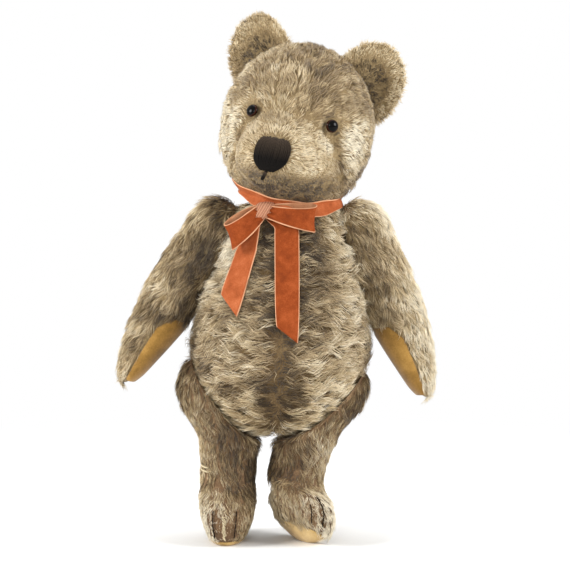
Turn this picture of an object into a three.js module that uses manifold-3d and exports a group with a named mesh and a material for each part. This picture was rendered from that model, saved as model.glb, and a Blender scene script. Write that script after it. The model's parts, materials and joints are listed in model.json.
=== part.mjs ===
// A worn, fully jointed teddy bear that stands on its feet with a ribbon tied under its chin.
// Millimetres, +Z up, the bear looks along -Y, so its own left is +X.
import * as THREE from 'three';
import { mergeVertices } from 'three/addons/utils/BufferGeometryUtils.js';
import Module from 'manifold-3d';

const wasm = await Module();
wasm.setup();

// Gaps and cloth
const touchGap = 0.3;
const seatGap = 0.4;
const pocketClearance = 0.5;
const coverThickness = 2.2;
const feltThickness = 1.5;
const padGap = 0.65;
const threadDiameter = 1.5;

// Torso: an egg that leans a little to its own left
const torsoBase = 88;
const torsoHeight = 202;
const torsoWidth = 140;
const bellyDepth = 59;
const backDepth = 50;
const torsoFoot = -4;
const torsoLean = 3.7;

// Head, measured from its centre
const headWidth = 122;
const headHeight = 138;
const headDepth = 112;
const headRise = 61;
const headAhead = 7;
const headAside = -3;
const headYaw = -12;
const headRoll = 11;
const headPitch = 2;
const muzzleWidth = 70;
const muzzleHeight = 60;
const muzzleReach = 86;
const muzzleDrop = 19;
const snoutShare = 0.53;
const faceBlend = 8;

// Ears
const earWidth = 58;
const earHeight = 38;
const earThickness = 6;
const earCup = 9;
const earSpread = 43;
const earLift = 47;
const earBehind = 12;
const earShift = 5.5;
const earSink = 0.5;
const earLean = 28;
const earTurn = 18;

// Eyes, nose and mouth
const eyeDiameter = 10.5;
const eyeDome = 4.2;
const eyeSpread = 31.5;
const eyeLift = 9;
const eyeShift = 4.5;
const shankWire = 0.9;
const shankLength = 10;
const shankBore = 3.6;
const noseWidth = 27;
const noseHeight = 26;
const noseThickness = 1.8;
const noseStitches = 9;
const noseShift = 2;
const noseLift = -20;
const noseSlant = -3;
const mouthLength = 6;
const mouthSlant = -3;

// Arms, measured from the shoulder joint
const shoulderDrop = 24;
const shoulderPress = 3;
const shoulderTilt = { left: 15, right: 17 };
const armTop = 24;
const armReach = 143;
const armThickness = 45;
const armDepth = 46;
const pawPadLength = 58;

// Legs and feet
const hipRise = 24;
const hipBack = 10;
const hipPress = 3.5;
const hipTilt = 40;
const hipHollowRadius = 57;
const legTop = 152;
const thighWidth = 56;
const thighDepth = 62;
const ankleHeight = 50;
const ankleWidth = 43;
const ankleDepth = 50;
const footWidth = 39;
const footLength = 82;
const soleBulge = 14;
const clawLift = 2;
const stance = {
  left: {
    footX: 18,
    footY: -20,
    toeOut: 34,
    roll: 33,
    soleEdge: 14,
    ankleX: 13,
    kneeX: 24,
    hipOut: -3,
    claws: { outer: [100, 22], inner: [126, 15] },
  },
  right: {
    footX: -43,
    footY: -15,
    toeOut: -3,
    roll: 0,
    soleEdge: 7,
    ankleX: -43,
    kneeX: -43,
    hipOut: 4.5,
    claws: { outer: [114, 22], inner: [66, 22] },
  },
};

// Disc joints
const neckCut = 14;
const neckTilt = 8;
const pinWire = 1.5;
const pinLegGap = 0.25;
const pinCurl = 3.2;
const pinEye = 3;
const boardThickness = 3;
const washerThickness = 1;
const neckBoard = 56;
const shoulderBoard = 32;
const hipBoard = 44;
const washerShare = 0.42;

// Ribbon
const ribbonWidth = 21;
const ribbonThickness = 1.2;
const collarWidth = 12;
const collarPinch = 4;
const collarLift = 3;
const collarSag = 6;
const collarFlare = 0.7;
const collarEase = 4;
const sweepStep = 6;
const bowAngle = 119;
const bowDrop = 6;
const knotSize = 15;
const loopDepth = 9;
const tailLift = 1.6;
const loops = [
  { aside: -27, drop: 20, ahead: 8, lean: -18 },
  { aside: 41, drop: 6, ahead: 7, lean: 4 },
];
const tails = [
  { aside: -25, drop: 76, slant: -50, swing: 1 },
  { aside: 19, drop: 98, slant: -38, swing: 4 },
];

// Smoothness of the soft pieces
const torsoSides = 24;
const torsoStations = 16;
const headSides = 28;
const headRows = 20;
const armSides = 18;
const legSides = 20;
const boardSides = 12;
const washerSides = 10;
const collarSteps = 20;
const eyeSides = 12;

const colours = {
  mohair: 0xb09c78,
  felt: 0xb08a48,
  soleFelt: 0xd2ac62,
  thread: 0x1d1915,
  glass: 0x0c0a09,
  steel: 0x8d8f90,
  board: 0x6a4a30,
  velvet: 0xa8623a,
};

const up = new THREE.Vector3(0, 0, 1);
const sideSign = { left: 1, right: -1 };
const bear = new THREE.Group();

function radians(degrees) {
  return THREE.MathUtils.degToRad(degrees);
}

function material(colour, roughness, metalness = 0) {
  return new THREE.MeshStandardMaterial({ color: colour, roughness, metalness });
}

function addMesh(group, name, geometry, look) {
  const mesh = new THREE.Mesh(geometry, look);
  mesh.name = name;
  group.add(mesh);
  return mesh;
}

// A smooth value between rows of [position, value, value, ...], by position.
function between(rows, position) {
  const last = rows.length - 1;
  let span = 0;
  while (span < last - 1 && position > rows[span + 1][0]) {
    span += 1;
  }
  const before = rows[Math.max(span - 1, 0)];
  const start = rows[span];
  const end = rows[span + 1];
  const after = rows[Math.min(span + 2, last)];
  const length = end[0] - start[0];
  const t = THREE.MathUtils.clamp((position - start[0]) / length, 0, 1);
  return start.slice(1).map((value, index) => {
    const column = index + 1;
    const slopeIn = (length * (end[column] - before[column])) / (end[0] - before[0]);
    const slopeOut = (length * (after[column] - value)) / (after[0] - start[0]);
    const rise = end[column] - value;
    const bend = 3 * rise - 2 * slopeIn - slopeOut;
    const twist = slopeIn + slopeOut - 2 * rise;
    return value + t * (slopeIn + t * (bend + t * twist));
  });
}

// How far a round end has opened, from 0 at the tip to 1 at its full section.
function dome(distance, length) {
  const share = THREE.MathUtils.clamp(1 - distance / length, 0, 1);
  return Math.sqrt(1 - share * share);
}

// A closed body from points and triangles, turned so that its faces point outwards.
function closedBody(points, triangles) {
  const positions = points.flatMap((point) => [point.x, point.y, point.z]);
  let volume = 0;
  for (const [a, b, c] of triangles) {
    volume += points[a].dot(points[b].clone().cross(points[c]));
  }
  const ordered = volume > 0 ? triangles : triangles.map(([a, b, c]) => [a, c, b]);
  const geometry = new THREE.BufferGeometry();
  geometry.setAttribute('position', new THREE.Float32BufferAttribute(positions, 3));
  geometry.setIndex(ordered.flat());
  return geometry;
}

// A body round a line of stations; surface(station, angle) gives each point and both ends close to a tip.
function loft(surface, stations, sides) {
  const points = [surface(stations[0], 0)];
  const triangles = [];
  const rows = stations.slice(1, -1);
  const at = (row, side) => 1 + row * sides + (side % sides);
  for (const station of rows) {
    for (let side = 0; side < sides; side += 1) {
      points.push(surface(station, (2 * Math.PI * side) / sides));
    }
  }
  const tip = points.push(surface(stations.at(-1), 0)) - 1;
  for (let side = 0; side < sides; side += 1) {
    triangles.push([0, at(0, side), at(0, side + 1)]);
    triangles.push([tip, at(rows.length - 1, side + 1), at(rows.length - 1, side)]);
    for (let row = 0; row < rows.length - 1; row += 1) {
      triangles.push([at(row, side), at(row + 1, side), at(row + 1, side + 1)]);
      triangles.push([at(row, side), at(row + 1, side + 1), at(row, side + 1)]);
    }
  }
  return closedBody(points, triangles);
}

// Stations from start to end that crowd together at both round ends.
function easedStations(start, end, count) {
  const stations = [];
  for (let index = 0; index <= count; index += 1) {
    stations.push(start + ((end - start) * (1 - Math.cos((Math.PI * index) / count))) / 2);
  }
  return stations;
}

// A sheet laid on a surface: place(u, v) is the surface point and lift(u, v) the sheet's thickness there.
function laidSheet(place, lift, rows, columns, gap = touchGap) {
  const points = [];
  const triangles = [];
  const width = columns + 1;
  const count = (rows + 1) * width;
  const step = 1e-3;
  for (const layer of [0, 1]) {
    for (let row = 0; row <= rows; row += 1) {
      for (let column = 0; column <= columns; column += 1) {
        const u = row / rows;
        const v = column / columns;
        const alongU = place(u + step, v).sub(place(u - step, v));
        const alongV = place(u, v + step).sub(place(u, v - step));
        const normal = alongU.cross(alongV).normalize();
        const height = gap + layer * lift(u, v);
        points.push(place(u, v).addScaledVector(normal, height));
      }
    }
  }
  const quad = (a, b, c, d) => triangles.push([a, b, c], [a, c, d]);
  for (let row = 0; row < rows; row += 1) {
    for (let column = 0; column < columns; column += 1) {
      const a = row * width + column;
      quad(a, a + width, a + width + 1, a + 1);
      quad(count + a, count + a + 1, count + a + width + 1, count + a + width);
    }
  }
  const rim = [];
  for (let column = 0; column < columns; column += 1) {
    rim.push(column);
  }
  for (let row = 0; row < rows; row += 1) {
    rim.push(row * width + columns);
  }
  for (let column = columns; column > 0; column -= 1) {
    rim.push(rows * width + column);
  }
  for (let row = rows; row > 0; row -= 1) {
    rim.push(row * width);
  }
  rim.forEach((a, index) => {
    const b = rim[(index + 1) % rim.length];
    quad(a, b, count + b, count + a);
  });
  return closedBody(points, triangles);
}

// A round wire or thread along points.
function wire(points, diameter, steps, sides = 6) {
  const outline = new THREE.Shape();
  for (let side = 0; side < sides; side += 1) {
    const angle = (2 * Math.PI * side) / sides;
    const x = (Math.cos(angle) * diameter) / 2;
    const y = (Math.sin(angle) * diameter) / 2;
    if (side === 0) {
      outline.moveTo(x, y);
    } else {
      outline.lineTo(x, y);
    }
  }
  const extrudePath = new THREE.CatmullRomCurve3(points, false, 'centripetal');
  return new THREE.ExtrudeGeometry(outline, { steps, extrudePath, bevelEnabled: false });
}

// A turned body from [radius, height] pairs, round its own Y axis.
function turned(profile, sides) {
  return new THREE.LatheGeometry(profile.map(([radius, height]) => new THREE.Vector2(radius, height)), sides);
}

function solidOf(geometry, matrix = new THREE.Matrix4()) {
  const bare = geometry.clone().applyMatrix4(matrix);
  bare.deleteAttribute('normal');
  bare.deleteAttribute('uv');
  const merged = mergeVertices(bare, 1e-4);
  const points = [];
  for (let index = 0; index < merged.attributes.position.count; index += 1) {
    points.push(new THREE.Vector3().fromBufferAttribute(merged.attributes.position, index));
  }
  const triangles = [];
  for (let index = 0; index < merged.index.count; index += 3) {
    const corners = [0, 1, 2].map((corner) => merged.index.getX(index + corner));
    if (new Set(corners).size === 3) {
      triangles.push(corners);
    }
  }
  const closed = closedBody(points, triangles);
  const vertProperties = new Float32Array(closed.attributes.position.array);
  const triVerts = new Uint32Array(closed.index.array);
  return new wasm.Manifold(new wasm.Mesh({ numProp: 3, vertProperties, triVerts }));
}

function geometryOf(solid) {
  const mesh = solid.getMesh();
  const geometry = new THREE.BufferGeometry();
  geometry.setAttribute('position', new THREE.BufferAttribute(new Float32Array(mesh.vertProperties), 3));
  geometry.setIndex(new THREE.BufferAttribute(new Uint32Array(mesh.triVerts), 1));
  geometry.computeVertexNormals();
  return geometry;
}

// The half of a solid on the side of a plane that its normal points to.
function keepBeyond(solid, point, normal) {
  return solid.trimByPlane(normal.toArray(), point.dot(normal));
}

// Torso surface: height share, half width, belly and back, with the round bottom and top.
const torsoRows = [
  [0, 0.9, 0.85, 0.9],
  [0.2, 0.93, 0.95, 0.95],
  [0.375, 1, 1, 0.97],
  [0.575, 0.93, 0.95, 1],
  [0.775, 0.74, 0.78, 0.92],
  [0.9, 0.61, 0.66, 0.78],
  [1, 0.54, 0.58, 0.66],
];
const torsoBottomRound = 0.3;
const torsoTopRound = 0.16;

function torsoSurface(share, angle, lift = 0) {
  const [width, front, back] = between(torsoRows, share);
  const opening = dome(share, torsoBottomRound) * dome(1 - share, torsoTopRound);
  const height = torsoHeight * share;
  const aside = (width * opening * torsoWidth) / 2 + lift;
  const ahead = (Math.sin(angle) > 0 ? front * bellyDepth : back * backDepth) * opening + lift;
  return new THREE.Vector3(
    torsoFoot + height * Math.tan(radians(torsoLean)) + Math.cos(angle) * aside,
    -Math.sin(angle) * ahead,
    torsoBase + height,
  );
}

// A joint's frame: its centre on the seat, its axis outwards from the torso, and a group for its pieces.
function jointFrame(name, centre, axis, board) {
  const lift = up.clone().addScaledVector(axis, -up.dot(axis));
  if (lift.length() < 0.2) {
    lift.set(0, -1, 0).addScaledVector(axis, axis.y);
  }
  lift.normalize();
  const across = axis.clone().cross(lift);
  const matrix = new THREE.Matrix4().makeBasis(across, axis, lift).setPosition(centre);
  const group = new THREE.Group();
  group.applyMatrix4(matrix);
  bear.add(group);
  return { name, centre, axis, board, matrix, group };
}

const neckShare = (torsoHeight - neckCut) / torsoHeight;
const neckCentre = torsoSurface(neckShare, 0).lerp(torsoSurface(neckShare, Math.PI), 0.5);
const neckAxis = new THREE.Vector3(Math.sin(radians(neckTilt)), 0, Math.cos(radians(neckTilt)));
const joints = { neck: jointFrame('neck', neckCentre, neckAxis, neckBoard) };

for (const side of ['left', 'right']) {
  const sign = sideSign[side];
  const angle = side === 'left' ? 0 : Math.PI;
  const armTilt = radians(shoulderTilt[side] - sign * torsoLean);
  const armAxis = new THREE.Vector3(sign * Math.cos(armTilt), 0, Math.sin(armTilt));
  const shoulder = torsoSurface(neckShare - shoulderDrop / torsoHeight, angle);
  shoulder.addScaledVector(armAxis, -shoulderPress);
  joints[`shoulder_${side}`] = jointFrame(`shoulder_${side}`, shoulder, armAxis, shoulderBoard);

  const down = radians(hipTilt + sign * torsoLean);
  const behind = radians(hipBack);
  const legAxis = new THREE.Vector3(
    sign * Math.cos(down) * Math.cos(behind),
    Math.cos(down) * Math.sin(behind),
    -Math.sin(down),
  );
  const hip = torsoSurface(hipRise / torsoHeight, angle - sign * behind);
  hip.addScaledVector(legAxis, -hipPress);
  joints[`hip_${side}`] = jointFrame(`hip_${side}`, hip, legAxis, hipBoard);
}

// Heights along a joint's axis, counted away from the seat on either side.
const boardStart = seatGap / 2 + coverThickness;
const boardEnd = boardStart + boardThickness;
const washerStart = boardEnd + touchGap;
const washerEnd = washerStart + washerThickness;
const pinRoom = washerEnd + 2 * pinCurl + 2.5 * pinWire;
const pinRadius = pinWire + pinLegGap / 2;
const boreRadius = pinRadius + pocketClearance;
const pinRoomRadius = 2 * pinCurl + 2 * pinWire + pocketClearance;

// The room that one half of a joint takes up inside its stuffed piece, open along the pin.
function pocket(joint, direction) {
  const boardRadius = joint.board / 2 + pocketClearance;
  const roomRadius = Math.max(pinRoomRadius, joint.board * 0.5 * washerShare + pocketClearance);
  const profile = [
    [0, -direction],
    [boreRadius, -direction],
    [boreRadius, direction * (boardStart - pocketClearance)],
    [boardRadius, direction * (boardStart - pocketClearance)],
    [boardRadius, direction * (boardEnd + pocketClearance)],
    [roomRadius, direction * (boardEnd + pocketClearance)],
    [roomRadius, direction * pinRoom],
    [0, direction * pinRoom],
  ];
  return solidOf(turned(profile, boardSides), joint.matrix);
}

// A flat ring between two heights, with the pin's hole.
function ringPiece(radius, start, end, sides) {
  const profile = [
    [boreRadius, start],
    [radius, start],
    [radius, end],
    [boreRadius, end],
    [boreRadius, start],
  ];
  return geometryOf(solidOf(turned(profile, sides)));
}

// A cotter pin: a round eye in the limb, two legs through the boards, each leg curled over inside the torso.
function cotterPin() {
  const half = (pinWire + pinLegGap) / 2;
  const eyeFoot = washerEnd + pinWire;
  const curlTop = -(washerEnd + touchGap + pinWire / 2);
  const points = [];
  const curl = (sign) => {
    const turn = [];
    for (let degrees = 0; degrees <= 180; degrees += 45) {
      const angle = radians(degrees);
      const x = sign * (half + pinCurl * (1 - Math.cos(angle)));
      turn.push(new THREE.Vector3(x, curlTop - pinCurl * 0.35 - pinCurl * Math.sin(angle), 0));
    }
    return turn;
  };
  points.push(...curl(-1).reverse());
  points.push(new THREE.Vector3(-half, 0, 0));
  points.push(new THREE.Vector3(-half, eyeFoot, 0));
  for (let degrees = -60; degrees <= 240; degrees += 60) {
    const angle = radians(degrees);
    const rise = eyeFoot + 1.6 * pinEye + Math.sin(angle) * pinEye;
    points.push(new THREE.Vector3(-Math.cos(angle) * pinEye, rise, 0));
  }
  points.push(new THREE.Vector3(half, eyeFoot, 0));
  points.push(new THREE.Vector3(half, 0, 0));
  points.push(...curl(1));
  return wire(points, pinWire, 26, 5);
}

for (const joint of Object.values(joints)) {
  const washerRadius = joint.board * 0.5 * washerShare;
  const board = material(colours.board, 0.9);
  const steel = material(colours.steel, 0.45, 1);
  const { group, name } = joint;
  const disc = (start, end) => ringPiece(joint.board / 2, start, end, boardSides);
  const washer = (start, end) => ringPiece(washerRadius, start, end, washerSides);
  addMesh(group, `${name}_body_disc`, disc(-boardEnd, -boardStart), board);
  addMesh(group, `${name}_limb_disc`, disc(boardStart, boardEnd), board);
  addMesh(group, `${name}_body_washer`, washer(-washerEnd, -washerStart), steel);
  addMesh(group, `${name}_limb_washer`, washer(washerStart, washerEnd), steel);
  addMesh(group, `${name}_pin`, cotterPin(), steel);
}

// Torso with its five flat seats and pockets.
function buildTorso() {
  let solid = solidOf(loft(torsoSurface, easedStations(0, 1, torsoStations), torsoSides));
  for (const joint of Object.values(joints)) {
    const seat = joint.centre.clone().addScaledVector(joint.axis, -seatGap / 2);
    solid = keepBeyond(solid, seat, joint.axis.clone().negate());
  }
  for (const joint of Object.values(joints)) {
    solid = solid.subtract(pocket(joint, -1));
  }
  addMesh(bear, 'torso', geometryOf(solid), material(colours.mohair, 0.95));
}

// Head: a ball and a snout melted into one surface, seen from the head's centre.
const headTurn = new THREE.Matrix4().makeRotationFromEuler(
  new THREE.Euler(radians(headPitch), radians(headRoll), radians(headYaw), 'YZX'),
);
const headCentre = neckCentre.clone().addScaledVector(neckAxis, headRise);
headCentre.add(new THREE.Vector3(headAside, -headAhead, 0));
const headMatrix = headTurn.clone().setPosition(headCentre);

const snoutLength = snoutShare * muzzleReach;
const snoutMiddle = new THREE.Vector3(0, snoutLength - muzzleReach, -muzzleDrop);
const snoutSizes = new THREE.Vector3(muzzleWidth / 2, snoutLength, muzzleHeight / 2);

function headRadius(direction) {
  const ball = 0.5 / Math.hypot(direction.x / headWidth, direction.y / headDepth, direction.z / headHeight);
  const d = direction.clone().divide(snoutSizes);
  const m = snoutMiddle.clone().divide(snoutSizes);
  const a = d.dot(d);
  const b = d.dot(m);
  const c = m.dot(m) - 1;
  const snout = Math.max((b + Math.sqrt(Math.max(b * b - a * c, 0))) / a, 0);
  return Math.pow(Math.pow(ball, faceBlend) + Math.pow(snout, faceBlend), 1 / faceBlend);
}

// The whole head in rings round the snout's line, from the nose to the back of the head.
function headLoft(lift) {
  const ahead = snoutMiddle.clone().normalize();
  const aside = new THREE.Vector3(1, 0, 0);
  const above = aside.clone().cross(ahead);
  const surface = (polar, angle) => {
    const round = aside.clone().multiplyScalar(Math.cos(angle)).addScaledVector(above, Math.sin(angle));
    const direction = ahead.clone().multiplyScalar(Math.cos(polar)).addScaledVector(round, Math.sin(polar));
    return direction.clone().multiplyScalar(headRadius(direction) + lift);
  };
  const stations = [];
  for (let row = 0; row <= headRows; row += 1) {
    stations.push(Math.PI * (row / headRows) ** 1.2);
  }
  return loft(surface, stations, headSides);
}

// The head point straight ahead of a place given in millimetres across and up from the head's centre.
function facePoint(across, height) {
  let reach = headDepth / 2;
  let point = new THREE.Vector3();
  for (let pass = 0; pass < 12; pass += 1) {
    const direction = new THREE.Vector3(across, -reach, height).normalize();
    point = direction.multiplyScalar(headRadius(direction));
    reach = Math.max(-point.y, 1);
    const miss = Math.hypot(point.x - across, point.z - height);
    if (miss < 0.005) {
      break;
    }
  }
  return point;
}

function faceNormal(across, height) {
  const step = 0.5;
  const sideways = facePoint(across + step, height).sub(facePoint(across - step, height));
  const upwards = facePoint(across, height + step).sub(facePoint(across, height - step));
  return sideways.cross(upwards).normalize();
}

// Where an eye sits: on the face, facing outwards.
function eyeMatrix(side) {
  const across = sideSign[side] * eyeSpread + eyeShift;
  const normal = faceNormal(across, eyeLift);
  const place = facePoint(across, eyeLift).addScaledVector(normal, touchGap);
  const turn = new THREE.Quaternion().setFromUnitVectors(new THREE.Vector3(0, 1, 0), normal);
  const local = new THREE.Matrix4().makeRotationFromQuaternion(turn).setPosition(place);
  return headMatrix.clone().multiply(local);
}

function buildHead() {
  const joint = joints.neck;
  let solid = solidOf(headLoft(0), headMatrix);
  const seat = joint.centre.clone().addScaledVector(joint.axis, seatGap / 2);
  solid = keepBeyond(solid, seat, joint.axis);
  solid = solid.subtract(pocket(joint, 1));
  for (const side of ['left', 'right']) {
    const depth = shankLength + 2;
    const socket = eyeDiameter / 2 + touchGap;
    const bore = [
      [0, eyeDome],
      [socket, eyeDome],
      [socket, -touchGap],
      [shankBore / 2, -touchGap],
      [shankBore / 2, -depth],
      [0, -depth],
    ];
    solid = solid.subtract(solidOf(turned(bore, eyeSides), eyeMatrix(side)));
  }
  addMesh(bear, 'head', geometryOf(solid), material(colours.mohair, 0.95));
}

function buildEyes() {
  for (const side of ['left', 'right']) {
    const holder = new THREE.Group();
    holder.applyMatrix4(eyeMatrix(side));
    bear.add(holder);
    const radius = eyeDiameter / 2;
    const profile = [[0, 0], [radius * 0.86, 0]];
    for (let degrees = 0; degrees <= 90; degrees += 18) {
      const angle = radians(degrees);
      profile.push([radius * Math.cos(angle), 1 + (eyeDome - 1) * Math.sin(angle)]);
    }
    profile[profile.length - 1][0] = 0;
    const glass = material(colours.glass, 0.08);
    addMesh(holder, `eye_${side}`, geometryOf(solidOf(turned(profile, eyeSides))), glass);
    const half = shankBore / 2 - shankWire / 2 - touchGap;
    const loop = [];
    loop.push(new THREE.Vector3(-half * 0.6, -touchGap, 0));
    loop.push(new THREE.Vector3(-half, -shankLength * 0.5, 0));
    loop.push(new THREE.Vector3(-half, -shankLength * 0.8, 0));
    loop.push(new THREE.Vector3(0, -shankLength, 0));
    loop.push(new THREE.Vector3(half, -shankLength * 0.8, 0));
    loop.push(new THREE.Vector3(half, -shankLength * 0.5, 0));
    loop.push(new THREE.Vector3(half * 0.6, -touchGap, 0));
    addMesh(holder, `eye_shank_${side}`, wire(loop, shankWire, 10, 5), material(colours.steel, 0.4, 1));
  }
}

// Nose: upright satin stitches in a rounded shield that leans a little; each stitch is a low ridge.
const noseRows = [[0, 0.62], [0.2, 0.92], [0.45, 1], [0.75, 0.86], [1, 0.36]];

function nosePlace(u, v) {
  const [share] = between(noseRows, u);
  const middle = noseShift + noseSlant * u * u;
  return facePoint(middle + (v - 0.5) * noseWidth * share, noseLift - (u - 0.5) * noseHeight);
}

function buildNose() {
  const holder = new THREE.Group();
  holder.applyMatrix4(headMatrix);
  bear.add(holder);
  const ridge = (u, v) => noseThickness * (0.72 + 0.28 * Math.abs(Math.sin(Math.PI * v * noseStitches)));
  const thread = material(colours.thread, 0.8);
  addMesh(holder, 'nose_stitching', laidSheet(nosePlace, ridge, 5, 2 * noseStitches), thread);
  const mouthTop = noseLift - noseHeight / 2 - threadDiameter - touchGap;
  const mouth = [];
  for (let step = 0; step <= 3; step += 1) {
    const height = mouthTop - (mouthLength * step) / 3;
    const across = noseShift + noseSlant + (mouthSlant * step) / 3;
    const lift = threadDiameter / 2 + touchGap;
    mouth.push(facePoint(across, height).addScaledVector(faceNormal(across, height), lift));
  }
  addMesh(holder, 'mouth_stitch', wire(mouth, threadDiameter, 6), thread);
}

// Ear: a cupped half disc of two layers, trimmed to the head that it is sewn to.
// Along the ear runs an angle from below one corner to below the other; the section there is a thin leaf.
function earSurface(along, angle) {
  const turn = radians(-35 + 250 * along);
  const reach = 0.51 + 0.49 * Math.cos(angle);
  const x = (Math.cos(turn) * reach * earWidth) / 2;
  const z = Math.sin(turn) * reach * earHeight;
  const hollow = 1 - (2.5 * x / earWidth) ** 2 - 0.6 * (z / earHeight) ** 2;
  const half = 0.5 * earThickness * Math.abs(Math.sin(angle)) ** 0.7;
  return new THREE.Vector3(x, earCup * hollow - Math.sign(Math.sin(angle)) * half, z);
}

function earBlank() {
  const sides = 12;
  const columns = 14;
  const points = [];
  const triangles = [];
  const at = (column, side) => column * sides + (side % sides);
  for (let column = 0; column <= columns; column += 1) {
    for (let side = 0; side < sides; side += 1) {
      points.push(earSurface(column / columns, (2 * Math.PI * side) / sides));
    }
  }
  for (let side = 0; side < sides; side += 1) {
    for (let column = 0; column < columns; column += 1) {
      triangles.push([at(column, side), at(column + 1, side), at(column + 1, side + 1)]);
      triangles.push([at(column, side), at(column + 1, side + 1), at(column, side + 1)]);
    }
  }
  for (let side = 1; side < sides - 1; side += 1) {
    triangles.push([at(0, 0), at(0, side), at(0, side + 1)]);
    triangles.push([at(columns, 0), at(columns, side + 1), at(columns, side)]);
  }
  return closedBody(points, triangles);
}

function buildEars() {
  const headBlank = solidOf(headLoft(touchGap), headMatrix);
  for (const side of ['left', 'right']) {
    const sign = sideSign[side];
    const lean = new THREE.Euler(0, radians(sign * earLean), radians(sign * earTurn), 'YZX');
    const local = new THREE.Matrix4().makeRotationFromEuler(lean);
    const seat = new THREE.Vector3(sign * earSpread + earShift, earBehind, earLift).normalize();
    local.setPosition(seat.multiplyScalar(headRadius(seat) - earSink));
    const blank = solidOf(earBlank(), headMatrix.clone().multiply(local));
    addMesh(bear, `ear_${side}`, geometryOf(blank.subtract(headBlank)), material(colours.mohair, 0.95));
  }
}

// Arm in its shoulder's frame: down the arm, forward shift, inner and outer face, half depth.
const armRows = [
  [-armTop, 0, -0.25, 0.8, 0.5],
  [0, 0, -0.25, 0.82, 0.5],
  [0.14 * armReach, 0, -0.2, 0.92, 0.5],
  [0.28 * armReach, 0, 0.02, 1.02, 0.5],
  [0.5 * armReach, 4, 0.14, 1.12, 0.46],
  [0.68 * armReach, 8, 0.34, 1.14, 0.43],
  [0.82 * armReach, 12, 0.52, 1.12, 0.4],
  [0.94 * armReach, 16, 0.68, 1.05, 0.33],
  [armReach, 18, 0.76, 1, 0.28],
];
const armTopRound = 26;
const pawRound = 14;

function armSurface(side) {
  const sign = sideSign[side];
  return (distance, angle) => {
    const [ahead, inner, outer, depth] = between(armRows, distance);
    const opening = dome(distance + armTop, armTopRound) * dome(armReach - distance, pawRound);
    const middle = (armThickness * (inner + outer)) / 2;
    const half = ((armThickness * (outer - inner)) / 2) * opening;
    return new THREE.Vector3(
      sign * (ahead + Math.sin(angle) * depth * armDepth * opening),
      middle - Math.cos(angle) * half,
      -distance,
    );
  };
}

function buildArms() {
  for (const side of ['left', 'right']) {
    const joint = joints[`shoulder_${side}`];
    const surface = armSurface(side);
    const seat = new THREE.Vector3(0, seatGap / 2, 0);
    let solid = solidOf(loft(surface, easedStations(-armTop, armReach, 16), armSides));
    solid = keepBeyond(solid, seat, new THREE.Vector3(0, 1, 0));
    const toJoint = joint.matrix.clone().invert().elements;
    solid = solid.subtract(pocket(joint, 1).transform(Array.from(toJoint)));
    addMesh(joint.group, `arm_${side}`, geometryOf(solid), material(colours.mohair, 0.95));
    const padEnd = armReach - 5;
    const place = (u, v) => {
      const distance = padEnd - pawPadLength * (1 - Math.sin((Math.PI * u) / 2));
      const spread = radians(84) * Math.min(1, 0.75 + 2 * u) * sideSign[side];
      return surface(distance, (v - 0.5) * 2 * spread);
    };
    const felt = material(colours.felt, 0.95);
    addMesh(joint.group, `paw_pad_${side}`, laidSheet(place, () => feltThickness, 8, 10, padGap), felt);
  }
}

// Leg: height, centre, half width, front, back, how far it has turned and rolled towards the foot.
function legRows(side) {
  const foot = stance[side];
  const hip = joints[`hip_${side}`].centre;
  const thighX = hip.x + sideSign[side] * foot.hipOut;
  const half = thighWidth / 2;
  const ankle = ankleWidth / 2;
  const kneeHeight = (legTop + ankleHeight) / 2 - 16;
  const sole = foot.soleEdge;
  return [
    [sole, foot.footX, foot.footY, footWidth / 2, footLength * 0.5, footLength * 0.5, 1],
    [sole + 11, foot.footX, foot.footY, footWidth * 0.53, footLength * 0.47, footLength * 0.5, 1],
    [sole + 24, foot.footX, foot.footY * 0.75, footWidth * 0.56, footLength * 0.4, footLength * 0.4, 0.8],
    [ankleHeight, foot.ankleX, 2, ankle, ankleDepth / 2, ankleDepth / 2, 0.35],
    [kneeHeight, foot.kneeX, 4, half * 0.88, thighDepth * 0.47, thighDepth * 0.47, 0],
    [hip.z, thighX, 4, half, thighDepth / 2, thighDepth / 2, 0],
    [legTop, thighX + sideSign[side] * 8, 4, half * 0.8, thighDepth * 0.45, thighDepth * 0.45, 0],
  ];
}

const legTopRound = 30;

function legSurface(side) {
  const foot = stance[side];
  const rows = legRows(side);
  const base = rows[0][0];
  const ringPoint = (height, angle) => {
    const [x, y, half, front, back, turn] = between(rows, height);
    const opening = dome(legTop - height, legTopRound);
    const yaw = radians(foot.toeOut) * turn;
    const roll = radians(foot.roll) * turn;
    const across = Math.cos(angle) * half * opening;
    const ahead = Math.sin(angle) * (Math.sin(angle) > 0 ? front : back) * opening;
    return new THREE.Vector3(
      x + Math.cos(yaw) * Math.cos(roll) * across + Math.sin(yaw) * ahead,
      y + Math.sin(yaw) * across - Math.cos(yaw) * ahead,
      height - Math.sin(roll) * across,
    );
  };
  const skinPoint = (height, angle) => {
    const point = ringPoint(height, angle);
    point.z += (feltThickness + touchGap) * (1 - (height - base) / (legTop - base)) ** 6;
    return point;
  };
  // Below the sole's edge a station counts from 0 at the sole's middle to 1 at its edge.
  const solePoint = (share, angle) => {
    const edge = ringPoint(base, angle);
    const middle = new THREE.Vector3(foot.footX, foot.footY, base);
    const point = middle.lerp(edge, share);
    point.z = Math.max(point.z - soleBulge * (1 - share * share), 0);
    return point;
  };
  return { base, skinPoint, solePoint };
}

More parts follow.
